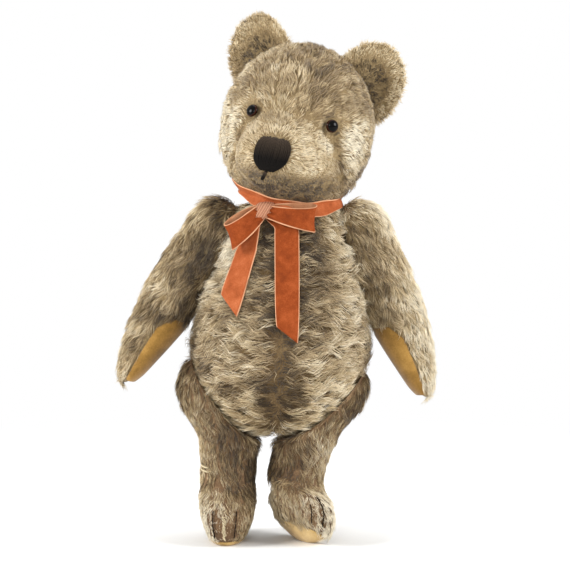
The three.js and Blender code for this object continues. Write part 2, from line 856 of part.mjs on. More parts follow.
function legBlank(side) {
  const { base, skinPoint, solePoint } = legSurface(side);
  const lift = feltThickness + touchGap;
  const stations = [];
  for (const share of [0, 0.3, 0.6, 0.85]) {
    stations.push({ share });
  }
  for (let row = 0; row <= 14; row += 1) {
    const eased = Math.sin((Math.PI * row) / 28);
    stations.push({ height: base + (legTop - base) * eased });
  }
  const surface = (station, angle) => {
    if (station.share !== undefined) {
      return solePoint(station.share, angle).add(new THREE.Vector3(0, 0, lift));
    }
    return skinPoint(station.height, angle);
  };
  return solidOf(loft(surface, stations, legSides));
}

// The body's room beside a hip: a shallow dome round the joint's axis that the leg must stay out of.
function hipDome(joint) {
  const flat = joint.board / 2;
  const radius = hipHollowRadius;
  const profile = [[0, -1.2 * radius], [flat + 0.95 * radius, -1.2 * radius]];
  for (let step = 6; step >= 0; step -= 1) {
    const reach = (0.95 * radius * step) / 6;
    profile.push([flat + reach, seatGap / 2 - (radius - Math.sqrt(radius * radius - reach * reach))]);
  }
  profile.push([0, seatGap / 2]);
  return solidOf(turned(profile, 30), joint.matrix);
}

function buildLegs() {
  for (const side of ['left', 'right']) {
    const joint = joints[`hip_${side}`];
    const { base, skinPoint, solePoint } = legSurface(side);
    let solid = legBlank(side);
    solid = solid.subtract(hipDome(joint));
    solid = solid.subtract(pocket(joint, 1));
    addMesh(bear, `leg_${side}`, geometryOf(solid), material(colours.mohair, 0.95));
    addMesh(bear, `foot_pad_${side}`, footPad(solePoint), material(colours.soleFelt, 0.95));
    for (const [name, [degrees, length]] of Object.entries(stance[side].claws)) {
      const points = [];
      const angle = radians(degrees);
      for (let step = 0; step <= 6; step += 1) {
        const height = base + clawLift + (length * step) / 6;
        const upwards = skinPoint(height + 1, angle).sub(skinPoint(height - 1, angle));
        const around = skinPoint(height, angle + 0.05).sub(skinPoint(height, angle - 0.05));
        const normal = upwards.cross(around).normalize();
        points.push(skinPoint(height, angle).addScaledVector(normal, threadDiameter / 2 + 2 * touchGap));
      }
      const thread = material(colours.thread, 0.8);
      addMesh(bear, `foot_claw_${side}_${name}`, wire(points, threadDiameter, 6), thread);
    }
  }
}

// Felt sole: the foot's bulging underside, one felt thick.
function footPad(solePoint) {
  const shares = [0.3, 0.6, 0.85, 0.97];
  const points = [];
  const triangles = [];
  const layer = shares.length * legSides + 1;
  for (const lift of [0, feltThickness]) {
    points.push(solePoint(0, 0).add(new THREE.Vector3(0, 0, lift)));
    for (const share of shares) {
      for (let side = 0; side < legSides; side += 1) {
        points.push(solePoint(share, (2 * Math.PI * side) / legSides).add(new THREE.Vector3(0, 0, lift)));
      }
    }
  }
  const at = (level, row, side) => level * layer + 1 + row * legSides + (side % legSides);
  const last = shares.length - 1;
  for (let side = 0; side < legSides; side += 1) {
    triangles.push([0, at(0, 0, side + 1), at(0, 0, side)]);
    triangles.push([layer, at(1, 0, side), at(1, 0, side + 1)]);
    for (let row = 0; row < last; row += 1) {
      triangles.push([at(0, row, side), at(0, row, side + 1), at(0, row + 1, side + 1)]);
      triangles.push([at(0, row, side), at(0, row + 1, side + 1), at(0, row + 1, side)]);
      triangles.push([at(1, row, side), at(1, row + 1, side + 1), at(1, row, side + 1)]);
      triangles.push([at(1, row, side), at(1, row + 1, side), at(1, row + 1, side + 1)]);
    }
    triangles.push([at(0, last, side), at(0, last, side + 1), at(1, last, side + 1)]);
    triangles.push([at(0, last, side), at(1, last, side + 1), at(1, last, side)]);
  }
  return closedBody(points, triangles);
}

// A strip of ribbon: rows of a point, the way across and the way out from the body.
function strip(rows, closed) {
  const points = [];
  const triangles = [];
  for (const { point, across, out, width } of rows) {
    for (const [a, b] of [[-1, 0], [1, 0], [1, 1], [-1, 1]]) {
      const corner = point.clone().addScaledVector(across, (a * width) / 2);
      points.push(corner.addScaledVector(out, b * ribbonThickness));
    }
  }
  const at = (row, corner) => (row % rows.length) * 4 + (corner % 4);
  const spans = closed ? rows.length : rows.length - 1;
  for (let row = 0; row < spans; row += 1) {
    for (let corner = 0; corner < 4; corner += 1) {
      triangles.push([at(row, corner), at(row, corner + 1), at(row + 1, corner + 1)]);
      triangles.push([at(row, corner), at(row + 1, corner + 1), at(row + 1, corner)]);
    }
  }
  if (!closed) {
    triangles.push([at(0, 0), at(0, 2), at(0, 1)], [at(0, 0), at(0, 3), at(0, 2)]);
    const end = rows.length - 1;
    triangles.push([at(end, 0), at(end, 1), at(end, 2)], [at(end, 0), at(end, 2), at(end, 3)]);
  }
  return solidOf(closedBody(points, triangles));
}

// The chest straight ahead of a place given across and up: the point, and the ways along and out.
function chestPlace(x, z) {
  const onChest = (across, height) => {
    const share = (height - torsoBase) / torsoHeight;
    const edge = torsoSurface(share, 0).x;
    const middle = (edge + torsoSurface(share, Math.PI).x) / 2;
    const angle = Math.acos(THREE.MathUtils.clamp((across - middle) / (edge - middle), -1, 1));
    return torsoSurface(share, angle);
  };
  const reach = 4;
  const along = onChest(x + reach, z).sub(onChest(x - reach, z)).normalize();
  const upwards = onChest(x, z + reach).sub(onChest(x, z - reach)).normalize();
  return { point: onChest(x, z), along, upwards, out: along.clone().cross(upwards).normalize() };
}

const collarAside = torsoSurface(neckShare, 0).distanceTo(neckCentre) + collarEase;
const collarAhead = torsoSurface(neckShare, Math.PI / 2).distanceTo(neckCentre) + 2 * collarEase;
const collarBehind = torsoSurface(neckShare, -Math.PI / 2).distanceTo(neckCentre) + collarEase;

// A place on the collar in the neck's frame, by angle from the bear's left towards its front.
function collarPlace(angle, ease = 0) {
  const reach = Math.sin(angle) > 0 ? collarAhead : collarBehind;
  const sag = collarLift - collarSag * Math.max(Math.sin(angle), 0) ** 2;
  return new THREE.Vector3((collarAside + ease) * Math.cos(angle), sag, (reach + ease) * Math.sin(angle));
}

const bowPlace = collarPlace(radians(bowAngle), 0.45 * knotSize).applyMatrix4(joints.neck.matrix);
bowPlace.z -= bowDrop;

// The ribbon round the neck, squeezed thin at both sides between the head and the arms.
function collar() {
  const rows = [];
  const frame = joints.neck.matrix;
  for (let step = 0; step < collarSteps; step += 1) {
    const angle = (2 * Math.PI * step) / collarSteps;
    const point = collarPlace(angle);
    const out = collarPlace(angle, 1).sub(point).normalize().transformDirection(frame);
    const flared = joints.neck.axis.clone().addScaledVector(out, -collarFlare);
    rows.push({
      point: point.applyMatrix4(frame),
      across: flared.normalize(),
      out,
      width: THREE.MathUtils.lerp(collarPinch, collarWidth, Math.sin(angle) ** 2),
    });
  }
  return strip(rows, true);
}

// A bow loop: out from the knot along its front and back along its rear, open in the middle.
function bowLoop({ aside, drop, ahead, lean }) {
  const rows = [];
  const steps = 12;
  const tip = bowPlace.clone().add(new THREE.Vector3(aside, -ahead, -drop));
  const along = tip.clone().sub(bowPlace).normalize();
  const across = new THREE.Vector3(Math.sin(radians(lean)), 0, Math.cos(radians(lean)));
  for (let step = 0; step < steps; step += 1) {
    const angle = (2 * Math.PI * step) / steps;
    const share = 0.5 - 0.5 * Math.cos(angle);
    const point = bowPlace.clone().lerp(tip, share);
    point.y += loopDepth * 0.5 * Math.sin(angle) * Math.sqrt(share + 0.1);
    const out = new THREE.Vector3(0, Math.sin(angle), 0).addScaledVector(along, -Math.cos(angle)).normalize();
    rows.push({ point, across, out, width: ribbonWidth * (0.45 + 0.55 * Math.sqrt(share)) });
  }
  return strip(rows, true);
}

// A tail that lies on the chest from the knot to its slanted end.
function bowTail({ aside, drop, slant, swing }) {
  const rows = [];
  const steps = 7;
  const start = bowPlace.clone().add(new THREE.Vector3(0.1 * aside, 0, -0.3 * knotSize));
  for (let step = 0; step <= steps; step += 1) {
    const share = step / steps;
    const x = start.x + 0.9 * aside * Math.min(1, swing * share);
    const z = start.z - (drop - 0.3 * knotSize) * share;
    const { point, along, upwards, out } = chestPlace(x, z);
    point.addScaledVector(out, tailLift);
    point.y = Math.min(point.y, THREE.MathUtils.lerp(bowPlace.y, point.y, Math.min(1, 3 * share)));
    const tilt = radians(slant * share ** 4);
    const across = along.clone().multiplyScalar(Math.cos(tilt)).addScaledVector(upwards, Math.sin(tilt));
    const full = THREE.MathUtils.lerp(0.5, 1, Math.min(1, 2.5 * share));
    const width = (ribbonWidth * full) / Math.cos(0.6 * tilt);
    rows.push({ point, across, out, width });
  }
  return strip(rows, false);
}

// The room that the head sweeps through as it turns on the neck, as a turned body in the neck's frame.
function headRoom() {
  const toNeck = joints.neck.matrix.clone().invert().multiply(headMatrix);
  const skin = headLoft(2 * touchGap).applyMatrix4(toNeck).attributes.position;
  const reach = 0.55 * headWidth + muzzleReach;
  const rings = Math.ceil(reach / sweepStep);
  const lowest = new Array(rings + 2).fill(headHeight);
  for (let index = 0; index < skin.count; index += 1) {
    const ring = Math.floor(Math.hypot(skin.getX(index), skin.getZ(index)) / sweepStep);
    for (const near of [ring, ring + 1]) {
      lowest[near] = Math.min(lowest[near], skin.getY(index));
    }
  }
  const profile = [[0, Math.min(...lowest)]];
  lowest.forEach((height, ring) => {
    if (ring > 0 && height < headHeight) {
      profile.push([ring * sweepStep, height]);
    }
  });
  profile.push([profile.at(-1)[0], headHeight], [0, headHeight]);
  return solidOf(turned(profile, 24), joints.neck.matrix);
}

function buildRibbon() {
  const knotMatrix = new THREE.Matrix4().makeScale(1, 1.1, 1).setPosition(bowPlace);
  let solid = solidOf(new THREE.SphereGeometry(knotSize / 2, 10, 7), knotMatrix);
  solid = solid.add(collar());
  for (const loop of loops) {
    solid = solid.add(bowLoop(loop));
  }
  for (const tail of tails) {
    solid = solid.add(bowTail(tail));
  }
  const chest = (share, angle) => torsoSurface(share, angle, touchGap);
  solid = solid.subtract(solidOf(loft(chest, easedStations(0, 1, torsoStations), torsoSides)));
  solid = solid.subtract(headRoom());
  const whole = solid.decompose().reduce((most, piece) => (piece.volume() > most.volume() ? piece : most));
  addMesh(bear, 'ribbon_bow', geometryOf(whole), material(colours.velvet, 0.85));
}

buildTorso();
buildHead();
buildEyes();
buildNose();
buildEars();
buildArms();
buildLegs();
buildRibbon();

// Stand the bear with its box centred over the origin.
const box = new THREE.Box3().setFromObject(bear, true);
bear.position.set(-(box.min.x + box.max.x) / 2, -(box.min.y + box.max.y) / 2, -box.min.z);

export default bear;
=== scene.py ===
import json
import math

import bpy
import numpy as np
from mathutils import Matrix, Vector


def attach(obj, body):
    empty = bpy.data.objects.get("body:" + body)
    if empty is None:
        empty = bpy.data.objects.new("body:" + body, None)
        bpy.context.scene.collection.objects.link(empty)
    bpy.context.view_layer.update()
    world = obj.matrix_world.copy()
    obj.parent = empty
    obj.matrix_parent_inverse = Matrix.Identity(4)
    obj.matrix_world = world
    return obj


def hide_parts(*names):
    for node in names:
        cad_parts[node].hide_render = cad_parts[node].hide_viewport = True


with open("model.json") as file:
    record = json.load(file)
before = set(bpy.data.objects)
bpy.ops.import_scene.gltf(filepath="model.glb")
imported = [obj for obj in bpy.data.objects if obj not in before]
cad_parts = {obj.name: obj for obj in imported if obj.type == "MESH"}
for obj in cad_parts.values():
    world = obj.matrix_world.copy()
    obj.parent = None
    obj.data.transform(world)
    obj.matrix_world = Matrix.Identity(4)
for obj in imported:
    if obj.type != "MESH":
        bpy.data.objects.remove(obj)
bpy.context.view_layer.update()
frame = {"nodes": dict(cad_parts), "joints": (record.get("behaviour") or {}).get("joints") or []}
draw = np.random.default_rng(1931)
print("frame loaded")


# a vector over its own length
def unit(v):
    return v / np.maximum(np.linalg.norm(v, axis=-1, keepdims=True), 1e-9)


# scalar product of rows of vectors, kept as a column
def along(a, b):
    return np.sum(a * b, axis=-1, keepdims=True)


# 0 below low, 1 above high, eased between
def ease(low, high, value):
    t = np.clip((value - low) / (high - low), 0, 1)
    return t * t * (3 - 2 * t)


# a soft stripe of the given half width: 1 in the middle, 0 outside
def stripe(value, middle, half):
    return np.exp(-((value - middle) / half) ** 2)


# round spot of the given size: 1 in the middle, 0 outside
def spot(points, place, size):
    return np.exp(-np.sum((points - np.array(place)) ** 2, -1) / size ** 2)


# smooth value between rows of (position, value, value, ...): a cubic through the two nearest rows
# whose slopes come from the rows outside them
def between(rows, position):
    rows = np.array(rows, float)
    place = np.asarray(position, float)
    last = len(rows) - 1
    span = np.clip(np.searchsorted(rows[:, 0], place, side="left") - 1, 0, last - 1)
    before, start = rows[np.maximum(span - 1, 0)], rows[span]
    end, after = rows[span + 1], rows[np.minimum(span + 2, last)]
    length = (end - start)[..., :1]
    t = np.clip((place[..., None] - start[..., :1]) / length, 0, 1)
    slopeIn = length * (end - before) / (end - before)[..., :1]
    slopeOut = length * (after - start) / (after - start)[..., :1]
    rise = end - start
    bend = 3 * rise - 2 * slopeIn - slopeOut + t * (slopeIn + slopeOut - 2 * rise)
    value = start + t * (slopeIn + t * bend)
    return np.moveaxis(value[..., 1:], -1, 0)


# how far a round end has opened: a quarter circle from 0 at the tip to 1
def dome(distance, length):
    share = np.clip(1 - distance / length, 0, 1)
    return np.sqrt(1 - share * share)


# stations from start to end that crowd together at both round ends
def eased(start, end, count):
    return start + (end - start) * (1 - np.cos(np.pi * np.arange(count + 1) / count)) / 2


# forms of the stuffed pieces, in millimetres, as in the solids
torsoForm = {
    "base": 88, "height": 202, "width": 140, "belly": 59, "back": 50, "foot": -4, "lean": 3.7,
    "bottomRound": 0.3, "topRound": 0.16, "neckCut": 14, "neckTilt": 8,
    "rows": [
        (0, 0.9, 0.85, 0.9), (0.2, 0.93, 0.95, 0.95), (0.375, 1, 1, 0.97), (0.575, 0.93, 0.95, 1),
        (0.775, 0.74, 0.78, 0.92), (0.9, 0.61, 0.66, 0.78), (1, 0.54, 0.58, 0.66),
    ],
}
seatGap = 0.4


# egg: at each height share an ellipse whose front and back depths differ
def torsoPoint(share, angle):
    form = torsoForm
    width, front, back = between(form["rows"], share)
    opening = dome(share, form["bottomRound"]) * dome(1 - share, form["topRound"])
    height = form["height"] * share
    aside = width * opening * form["width"] / 2
    ahead = np.where(np.sin(angle) > 0, front * form["belly"], back * form["back"]) * opening
    x = form["foot"] + height * math.tan(math.radians(form["lean"])) + np.cos(angle) * aside
    return np.stack([x, -np.sin(angle) * ahead, form["base"] + height + 0 * x], -1)


def torsoAt(share, angle):
    return torsoPoint(np.array(share, float), np.array(angle, float))


# a joint's frame: rows are the way across, the axis outwards from the torso, and the way up
def jointFrame(centre, axis, board):
    up = np.array([0, 0, 1.0]) - axis * axis[2]
    if np.linalg.norm(up) < 0.2:
        up = np.array([0, -1.0, 0]) + axis * axis[1]
    up = unit(up)
    return {"centre": centre, "axis": axis, "board": board, "rows": np.stack([np.cross(axis, up), axis, up])}


def toJoint(joint, points):
    return (points - joint["centre"]) @ joint["rows"].T


def fromJoint(joint, local):
    return local @ joint["rows"] + joint["centre"]


jointForm = {
    "shoulderDrop": 24, "shoulderPress": 3, "shoulderTilt": {"left": 15, "right": 17}, "hipRise": 24,
    "hipBack": 10, "hipPress": 3.5, "hipTilt": 40, "hipHollow": 57,
    "neckBoard": 56, "shoulderBoard": 32, "hipBoard": 44,
}
sideSign = {"left": 1, "right": -1}
neckShare = (torsoForm["height"] - torsoForm["neckCut"]) / torsoForm["height"]
neckTilt = math.radians(torsoForm["neckTilt"])
joints = {
    "neck": jointFrame(
        (torsoAt(neckShare, 0) + torsoAt(neckShare, np.pi)) / 2,
        np.array([math.sin(neckTilt), 0, math.cos(neckTilt)]),
        jointForm["neckBoard"],
    )
}
for side, sign in sideSign.items():
    flank = 0 if side == "left" else np.pi
    tilt = math.radians(jointForm["shoulderTilt"][side] - sign * torsoForm["lean"])
    axis = np.array([sign * math.cos(tilt), 0, math.sin(tilt)])
    centre = torsoAt(neckShare - jointForm["shoulderDrop"] / torsoForm["height"], flank)
    joints["shoulder_" + side] = jointFrame(
        centre - axis * jointForm["shoulderPress"], axis, jointForm["shoulderBoard"])
    down = math.radians(jointForm["hipTilt"] + sign * torsoForm["lean"])
    behind = math.radians(jointForm["hipBack"])
    axis = np.array([
        sign * math.cos(down) * math.cos(behind), math.cos(down) * math.sin(behind), -math.sin(down)])
    centre = torsoAt(jointForm["hipRise"] / torsoForm["height"], flank - sign * behind)
    joints["hip_" + side] = jointFrame(centre - axis * jointForm["hipPress"], axis, jointForm["hipBoard"])

# the solids are centred over the origin; the neck joint says by how much they moved
neckJoint = next(j for j in frame["joints"] if j["name"] == "neck")
shift = np.array(neckJoint["pos_m"]) * 1000 - joints["neck"]["centre"]
print("forms placed, moved by", shift.round(3))


def metres(points):
    return (points + shift) / 1000


headForm = {
    "width": 122, "height": 138, "depth": 112, "rise": 61, "ahead": 7, "aside": -3,
    "yaw": -12, "roll": 11, "pitch": 2, "blend": 8,
    "muzzleWidth": 70, "muzzleHeight": 60, "muzzleReach": 86, "muzzleDrop": 19, "snoutShare": 0.53,
}


def turnMatrix(pitch, roll, yaw):
    cx, sx = math.cos(math.radians(pitch)), math.sin(math.radians(pitch))
    cy, sy = math.cos(math.radians(roll)), math.sin(math.radians(roll))
    cz, sz = math.cos(math.radians(yaw)), math.sin(math.radians(yaw))
    aboutX = np.array([[1, 0, 0], [0, cx, -sx], [0, sx, cx]])
    aboutY = np.array([[cy, 0, sy], [0, 1, 0], [-sy, 0, cy]])
    aboutZ = np.array([[cz, -sz, 0], [sz, cz, 0], [0, 0, 1]])
    return aboutY @ aboutZ @ aboutX


headTurn = turnMatrix(headForm["pitch"], headForm["roll"], headForm["yaw"])
headCentre = joints["neck"]["centre"] + joints["neck"]["axis"] * headForm["rise"] + np.array(
    [headForm["aside"], -headForm["ahead"], 0])
snoutLength = headForm["snoutShare"] * headForm["muzzleReach"]
snoutMiddle = np.array([0, snoutLength - headForm["muzzleReach"], -headForm["muzzleDrop"]])
snoutSizes = np.array([headForm["muzzleWidth"] / 2, snoutLength, headForm["muzzleHeight"] / 2])


def fromHead(local):
    return local @ headTurn.T + headCentre


def toHead(points):
    return (points - headCentre) @ headTurn


# ball and snout ellipsoids seen from the head's centre; a high power mean melts them together
def headRadius(direction):
    form = headForm
    ball = 0.5 / np.linalg.norm(direction / np.array([form["width"], form["depth"], form["height"]]), axis=-1)
    d, m = direction / snoutSizes, snoutMiddle / snoutSizes
    a, b, c = np.sum(d * d, -1), d @ m, m @ m - 1
    snout = np.maximum((b + np.sqrt(np.maximum(b * b - a * c, 0))) / a, 0)
    return (ball ** form["blend"] + snout ** form["blend"]) ** (1 / form["blend"])


# the head point straight ahead of a place across and up from the head's centre
def facePoint(across, height):
    across, height = np.broadcast_arrays(np.asarray(across, float), np.asarray(height, float))
    reach = np.full(across.shape, headForm["depth"] / 2)
    for attempt in range(14):
        direction = unit(np.stack([across, -reach, height], -1))
        point = direction * headRadius(direction)[..., None]
        reach = np.maximum(-point[..., 1], 1)
    return point


def faceNormal(across, height):
    step = 0.5
    sideways = facePoint(across + step, height) - facePoint(across - step, height)
    upwards = facePoint(across, height + step) - facePoint(across, height - step)
    return unit(np.cross(sideways, upwards))


eyeForm = {
    "spread": 31.5, "lift": 9, "shift": 4.5, "diameter": 10.5, "dome": 4.2, "columns": 36, "rows": 14,
}
noseForm = {
    "width": 27, "height": 26, "lift": -20, "shift": 2, "slant": -3,
    "rows": [(0, 0.62), (0.2, 0.92), (0.45, 1), (0.75, 0.86), (1, 0.36)],
}


def eyePoint(side):
    return facePoint(sideSign[side] * eyeForm["spread"] + eyeForm["shift"], eyeForm["lift"])


armForm = {
    "top": 24, "reach": 143, "thickness": 45, "depth": 46, "padLength": 58, "padEnd": 138,
    "topRound": 26, "pawRound": 14,
    "rows": [
        (-0.1678, 0, -0.25, 0.8, 0.5), (0, 0, -0.25, 0.82, 0.5),
        (0.14, 0, -0.2, 0.92, 0.5), (0.28, 0, 0.02, 1.02, 0.5),
        (0.5, 4, 0.14, 1.12, 0.46), (0.68, 8, 0.34, 1.14, 0.43), (0.82, 12, 0.52, 1.12, 0.4),
        (0.94, 16, 0.68, 1.05, 0.33), (1, 18, 0.76, 1, 0.28),
    ],
}


# arm in its shoulder's frame: an ellipse at each distance down the arm, between an inner and an outer face
def armPoint(side, distance, angle):
    form, sign = armForm, sideSign[side]
    ahead, inner, outer, depth = between(form["rows"], distance / form["reach"])
    opening = dome(distance + form["top"], form["topRound"])
    opening = opening * dome(form["reach"] - distance, form["pawRound"])
    middle = form["thickness"] * (inner + outer) / 2
    half = form["thickness"] * (outer - inner) / 2 * opening
    x = sign * (ahead + np.sin(angle) * depth * form["depth"] * opening)
    return np.stack([x, middle - np.cos(angle) * half, -distance + 0 * x], -1)


legForm = {
    "top": 152, "thighWidth": 56, "thighDepth": 62, "ankle": 50, "ankleWidth": 43, "ankleDepth": 50,
    "footWidth": 39, "footLength": 82, "soleBulge": 14, "topRound": 30, "felt": 1.8, "round": 0.13,
    "soleDepth": 20,
    "left": {
        "footX": 18, "footY": -20, "toeOut": 34, "roll": 33, "sole": 14,
        "ankleX": 13, "kneeX": 24, "hipOut": -3,
    },
    "right": {
        "footX": -43, "footY": -15, "toeOut": -3, "roll": 0, "sole": 7,
        "ankleX": -43, "kneeX": -43, "hipOut": 4.5,
    },
}


def legRows(side):
    form, foot = legForm, legForm[side]
    hip = joints["hip_" + side]["centre"]
    thighX = hip[0] + sideSign[side] * foot["hipOut"]
    half, ankle = form["thighWidth"] / 2, form["ankleWidth"] / 2
    knee = (form["top"] + form["ankle"]) / 2 - 16
    wide, long, deep, sole = form["footWidth"], form["footLength"], form["thighDepth"], foot["sole"]
    return [
        (sole, foot["footX"], foot["footY"], wide / 2, long * 0.5, long * 0.5, 1),
        (sole + 11, foot["footX"], foot["footY"], wide * 0.53, long * 0.47, long * 0.5, 1),
        (sole + 24, foot["footX"], foot["footY"] * 0.75, wide * 0.56, long * 0.4, long * 0.4, 0.8),
        (form["ankle"], foot["ankleX"], 2, ankle, form["ankleDepth"] / 2, form["ankleDepth"] / 2, 0.35),
        (knee, foot["kneeX"], 4, half * 0.88, deep * 0.47, deep * 0.47, 0),
        (hip[2], thighX, 4, half, deep / 2, deep / 2, 0),
        (form["top"], thighX + sideSign[side] * 8, 4, half * 0.8, deep * 0.45, deep * 0.45, 0),
    ]


# leg: an ellipse at each height, turned and rolled with the foot towards the floor
def legPoint(side, height, angle):
    foot, rows = legForm[side], legRows(side)
    x, y, half, front, back, turn = between(rows, height)
    opening = dome(legForm["top"] - height, legForm["topRound"])
    yaw, roll = math.radians(foot["toeOut"]) * turn, math.radians(foot["roll"]) * turn
    opening = opening * (1 - legForm["round"] * (1 - ease(rows[0][0], rows[0][0] + 14, height)))
    across = np.cos(angle) * half * opening
    ahead = np.sin(angle) * np.where(np.sin(angle) > 0, front, back) * opening
    lift = legForm["felt"] * (1 - (height - rows[0][0]) / (legForm["top"] - rows[0][0])) ** 6
    return np.stack([
        x + np.cos(yaw) * np.cos(roll) * across + np.sin(yaw) * ahead,
        y + np.sin(yaw) * across - np.cos(yaw) * ahead,
        height - np.sin(roll) * across + lift,
    ], -1)


# sole: from its middle, share 0, to its edge, share 1, bulging down and flat where it meets the floor
def solePoint(side, share, angle):
    foot = legForm[side]
    edge = legPoint(side, np.full(np.shape(angle), float(foot["sole"])), angle)
    edge[..., 2] -= legForm["felt"]
    middle = np.array([foot["footX"], foot["footY"], foot["sole"]], float)
    point = middle + (edge - middle) * share[..., None]
    point[..., 2] = np.maximum(point[..., 2] - legForm["soleBulge"] * (1 - share * share), 0)
    return point


earForm = {
    "width": 58, "height": 38, "thickness": 6, "cup": 9, "spread": 43, "lift": 47, "behind": 12, "shift": 5.5,
    "sink": 0.5, "lean": 28, "turn": 18,
}


# ear: a leaf section carried round a fan, hollowed towards the front
def earLocal(share, angle):
    form = earForm
    turn = np.radians(-35 + 250 * share)
    reach = 0.51 + 0.49 * np.cos(angle)
    x = np.cos(turn) * reach * form["width"] / 2
    z = np.sin(turn) * reach * form["height"]
    hollow = 1 - (2.5 * x / form["width"]) ** 2 - 0.6 * (z / form["height"]) ** 2
    half = 0.5 * form["thickness"] * np.abs(np.sin(angle)) ** 0.7
    return np.stack([x, form["cup"] * hollow - np.sign(np.sin(angle)) * half, z], -1)


def earPlace(side):
    form, sign = earForm, sideSign[side]
    seat = unit(np.array([sign * form["spread"] + form["shift"], form["behind"], form["lift"]], float))
    turn = turnMatrix(0, sign * form["lean"], sign * form["turn"])
    return turn, seat * (headRadius(seat) - form["sink"])


# meshes
def meshFrom(name, points, corners, sizes, uv=None, uvName="weave"):
    mesh = bpy.data.meshes.new(name)
    mesh.vertices.add(len(points))
    mesh.vertices.foreach_set("co", np.asarray(points, np.float32).ravel())
    mesh.loops.add(len(corners))
    mesh.loops.foreach_set("vertex_index", np.asarray(corners, np.int32))
    mesh.polygons.add(len(sizes))
    starts = np.concatenate([[0], np.cumsum(sizes)[:-1]])
    mesh.polygons.foreach_set("loop_start", starts.astype(np.int32))
    if uv is not None:
        mesh.uv_layers.new(name=uvName).data.foreach_set("uv", np.asarray(uv, np.float32).ravel())
    mesh.update(calc_edges=True)
    mesh.shade_smooth()
    piece = bpy.data.objects.new(name, mesh)
    bpy.context.collection.objects.link(piece)
    return piece


# a closed skin: row 0 and the last row are single points, and the columns run round
def skinMesh(name, grid):
    rows, columns = grid.shape[:2]
    points = np.concatenate([grid[0, :1], grid[1:-1].reshape(-1, 3), grid[-1, :1]])
    ring = np.arange(columns)
    after = (ring + 1) % columns
    first = 1 + ring
    tip = len(points) - 1
    lastRow = 1 + (rows - 3) * columns
    caps = np.concatenate([
        np.stack([np.zeros_like(ring), first, 1 + after], 1),
        np.stack([np.full_like(ring, tip), lastRow + after, lastRow + ring], 1)])
    start = 1 + np.arange(rows - 3)[:, None] * columns
    quads = np.stack([start + ring, start + columns + ring, start + columns + after, start + after], -1)
    quads = quads.reshape(-1, 4)
    corner = points[quads]
    facing = np.cross(corner[:, 1] - corner[:, 0], corner[:, 2] - corner[:, 0])
    if np.sum(facing * (corner[:, 0] - points.mean(0))) < 0:
        caps, quads = caps[:, ::-1], quads[:, ::-1]
    corners = np.concatenate([caps.ravel(), quads.ravel()])
    sizes = np.concatenate([np.full(len(caps), 3), np.full(len(quads), 4)])
    return meshFrom(name, metres(points), corners, sizes)


# two layers of a sheet and the rim between them; the map has the front in its lower half, the back above
def sheetMesh(name, front, back, closed=False):
    rows, columns = front.shape[:2]
    points = np.concatenate([front.reshape(-1, 3), back.reshape(-1, 3)])
    count = rows * columns
    spans = rows if closed else rows - 1
    r, c = np.meshgrid(np.arange(spans), np.arange(columns - 1), indexing="ij")
    a, b = r * columns + c, (r + 1) % rows * columns + c
    quads = [np.stack([a, b, b + 1, a + 1], -1).reshape(-1, 4)]
    quads.append(np.stack([a, a + 1, b + 1, b], -1).reshape(-1, 4) + count)
    u0, u1, v0, v1 = r / spans, (r + 1) / spans, c / (columns - 1), (c + 1) / (columns - 1)
    face = np.stack([np.stack(pair, -1) for pair in ((u0, v0), (u1, v0), (u1, v1), (u0, v1))], -2)
    low, high = face * [1, 0.46] + [0, 0.02], (face * [1, 0.46] + [0, 0.52])[..., [0, 3, 2, 1], :]
    maps = [low.reshape(-1, 4, 2), high.reshape(-1, 4, 2)]
    r = np.arange(spans)
    left, leftNext = r * columns, (r + 1) % rows * columns
    right, rightNext = left + columns - 1, leftNext + columns - 1
    quads.append(np.stack([leftNext, left, left + count, leftNext + count], 1))
    quads.append(np.stack([right, rightNext, rightNext + count, right + count], 1))
    for v in (0.005, 0.475):
        strip = np.stack([r / spans, np.full(spans, v)], 1)
        nextStrip = np.stack([(r + 1) / spans, np.full(spans, v)], 1)
        maps.append(np.stack([nextStrip, strip, strip + [0, 0.01], nextStrip + [0, 0.01]], 1))
    if not closed:
        c = np.arange(columns - 1)
        quads.append(np.stack([c, c + 1, c + 1 + count, c + count], 1))
        end = (rows - 1) * columns + c
        quads.append(np.stack([end + 1, end, end + count, end + 1 + count], 1))
        for u in (0.002, 0.99):
            v = 0.02 + 0.46 * c / (columns - 1)
            edge = np.stack([np.full(len(c), u), v], 1)
            maps.append(np.stack([edge, edge + [0, 0.01], edge + [0.008, 0.01], edge + [0.008, 0]], 1))
    quads, maps = np.concatenate(quads), np.concatenate(maps)
    corner = points[quads]
    facing = np.cross(corner[:, 1] - corner[:, 0], corner[:, 2] - corner[:, 0])
    if np.sum(facing[: spans * (columns - 1)] * (front - back)[:spans, :-1].reshape(-1, 3)) < 0:
        quads, maps = quads[:, ::-1], maps[:, ::-1]
    return meshFrom(name, metres(points), quads.ravel(), np.full(len(quads), 4), maps.reshape(-1, 2))


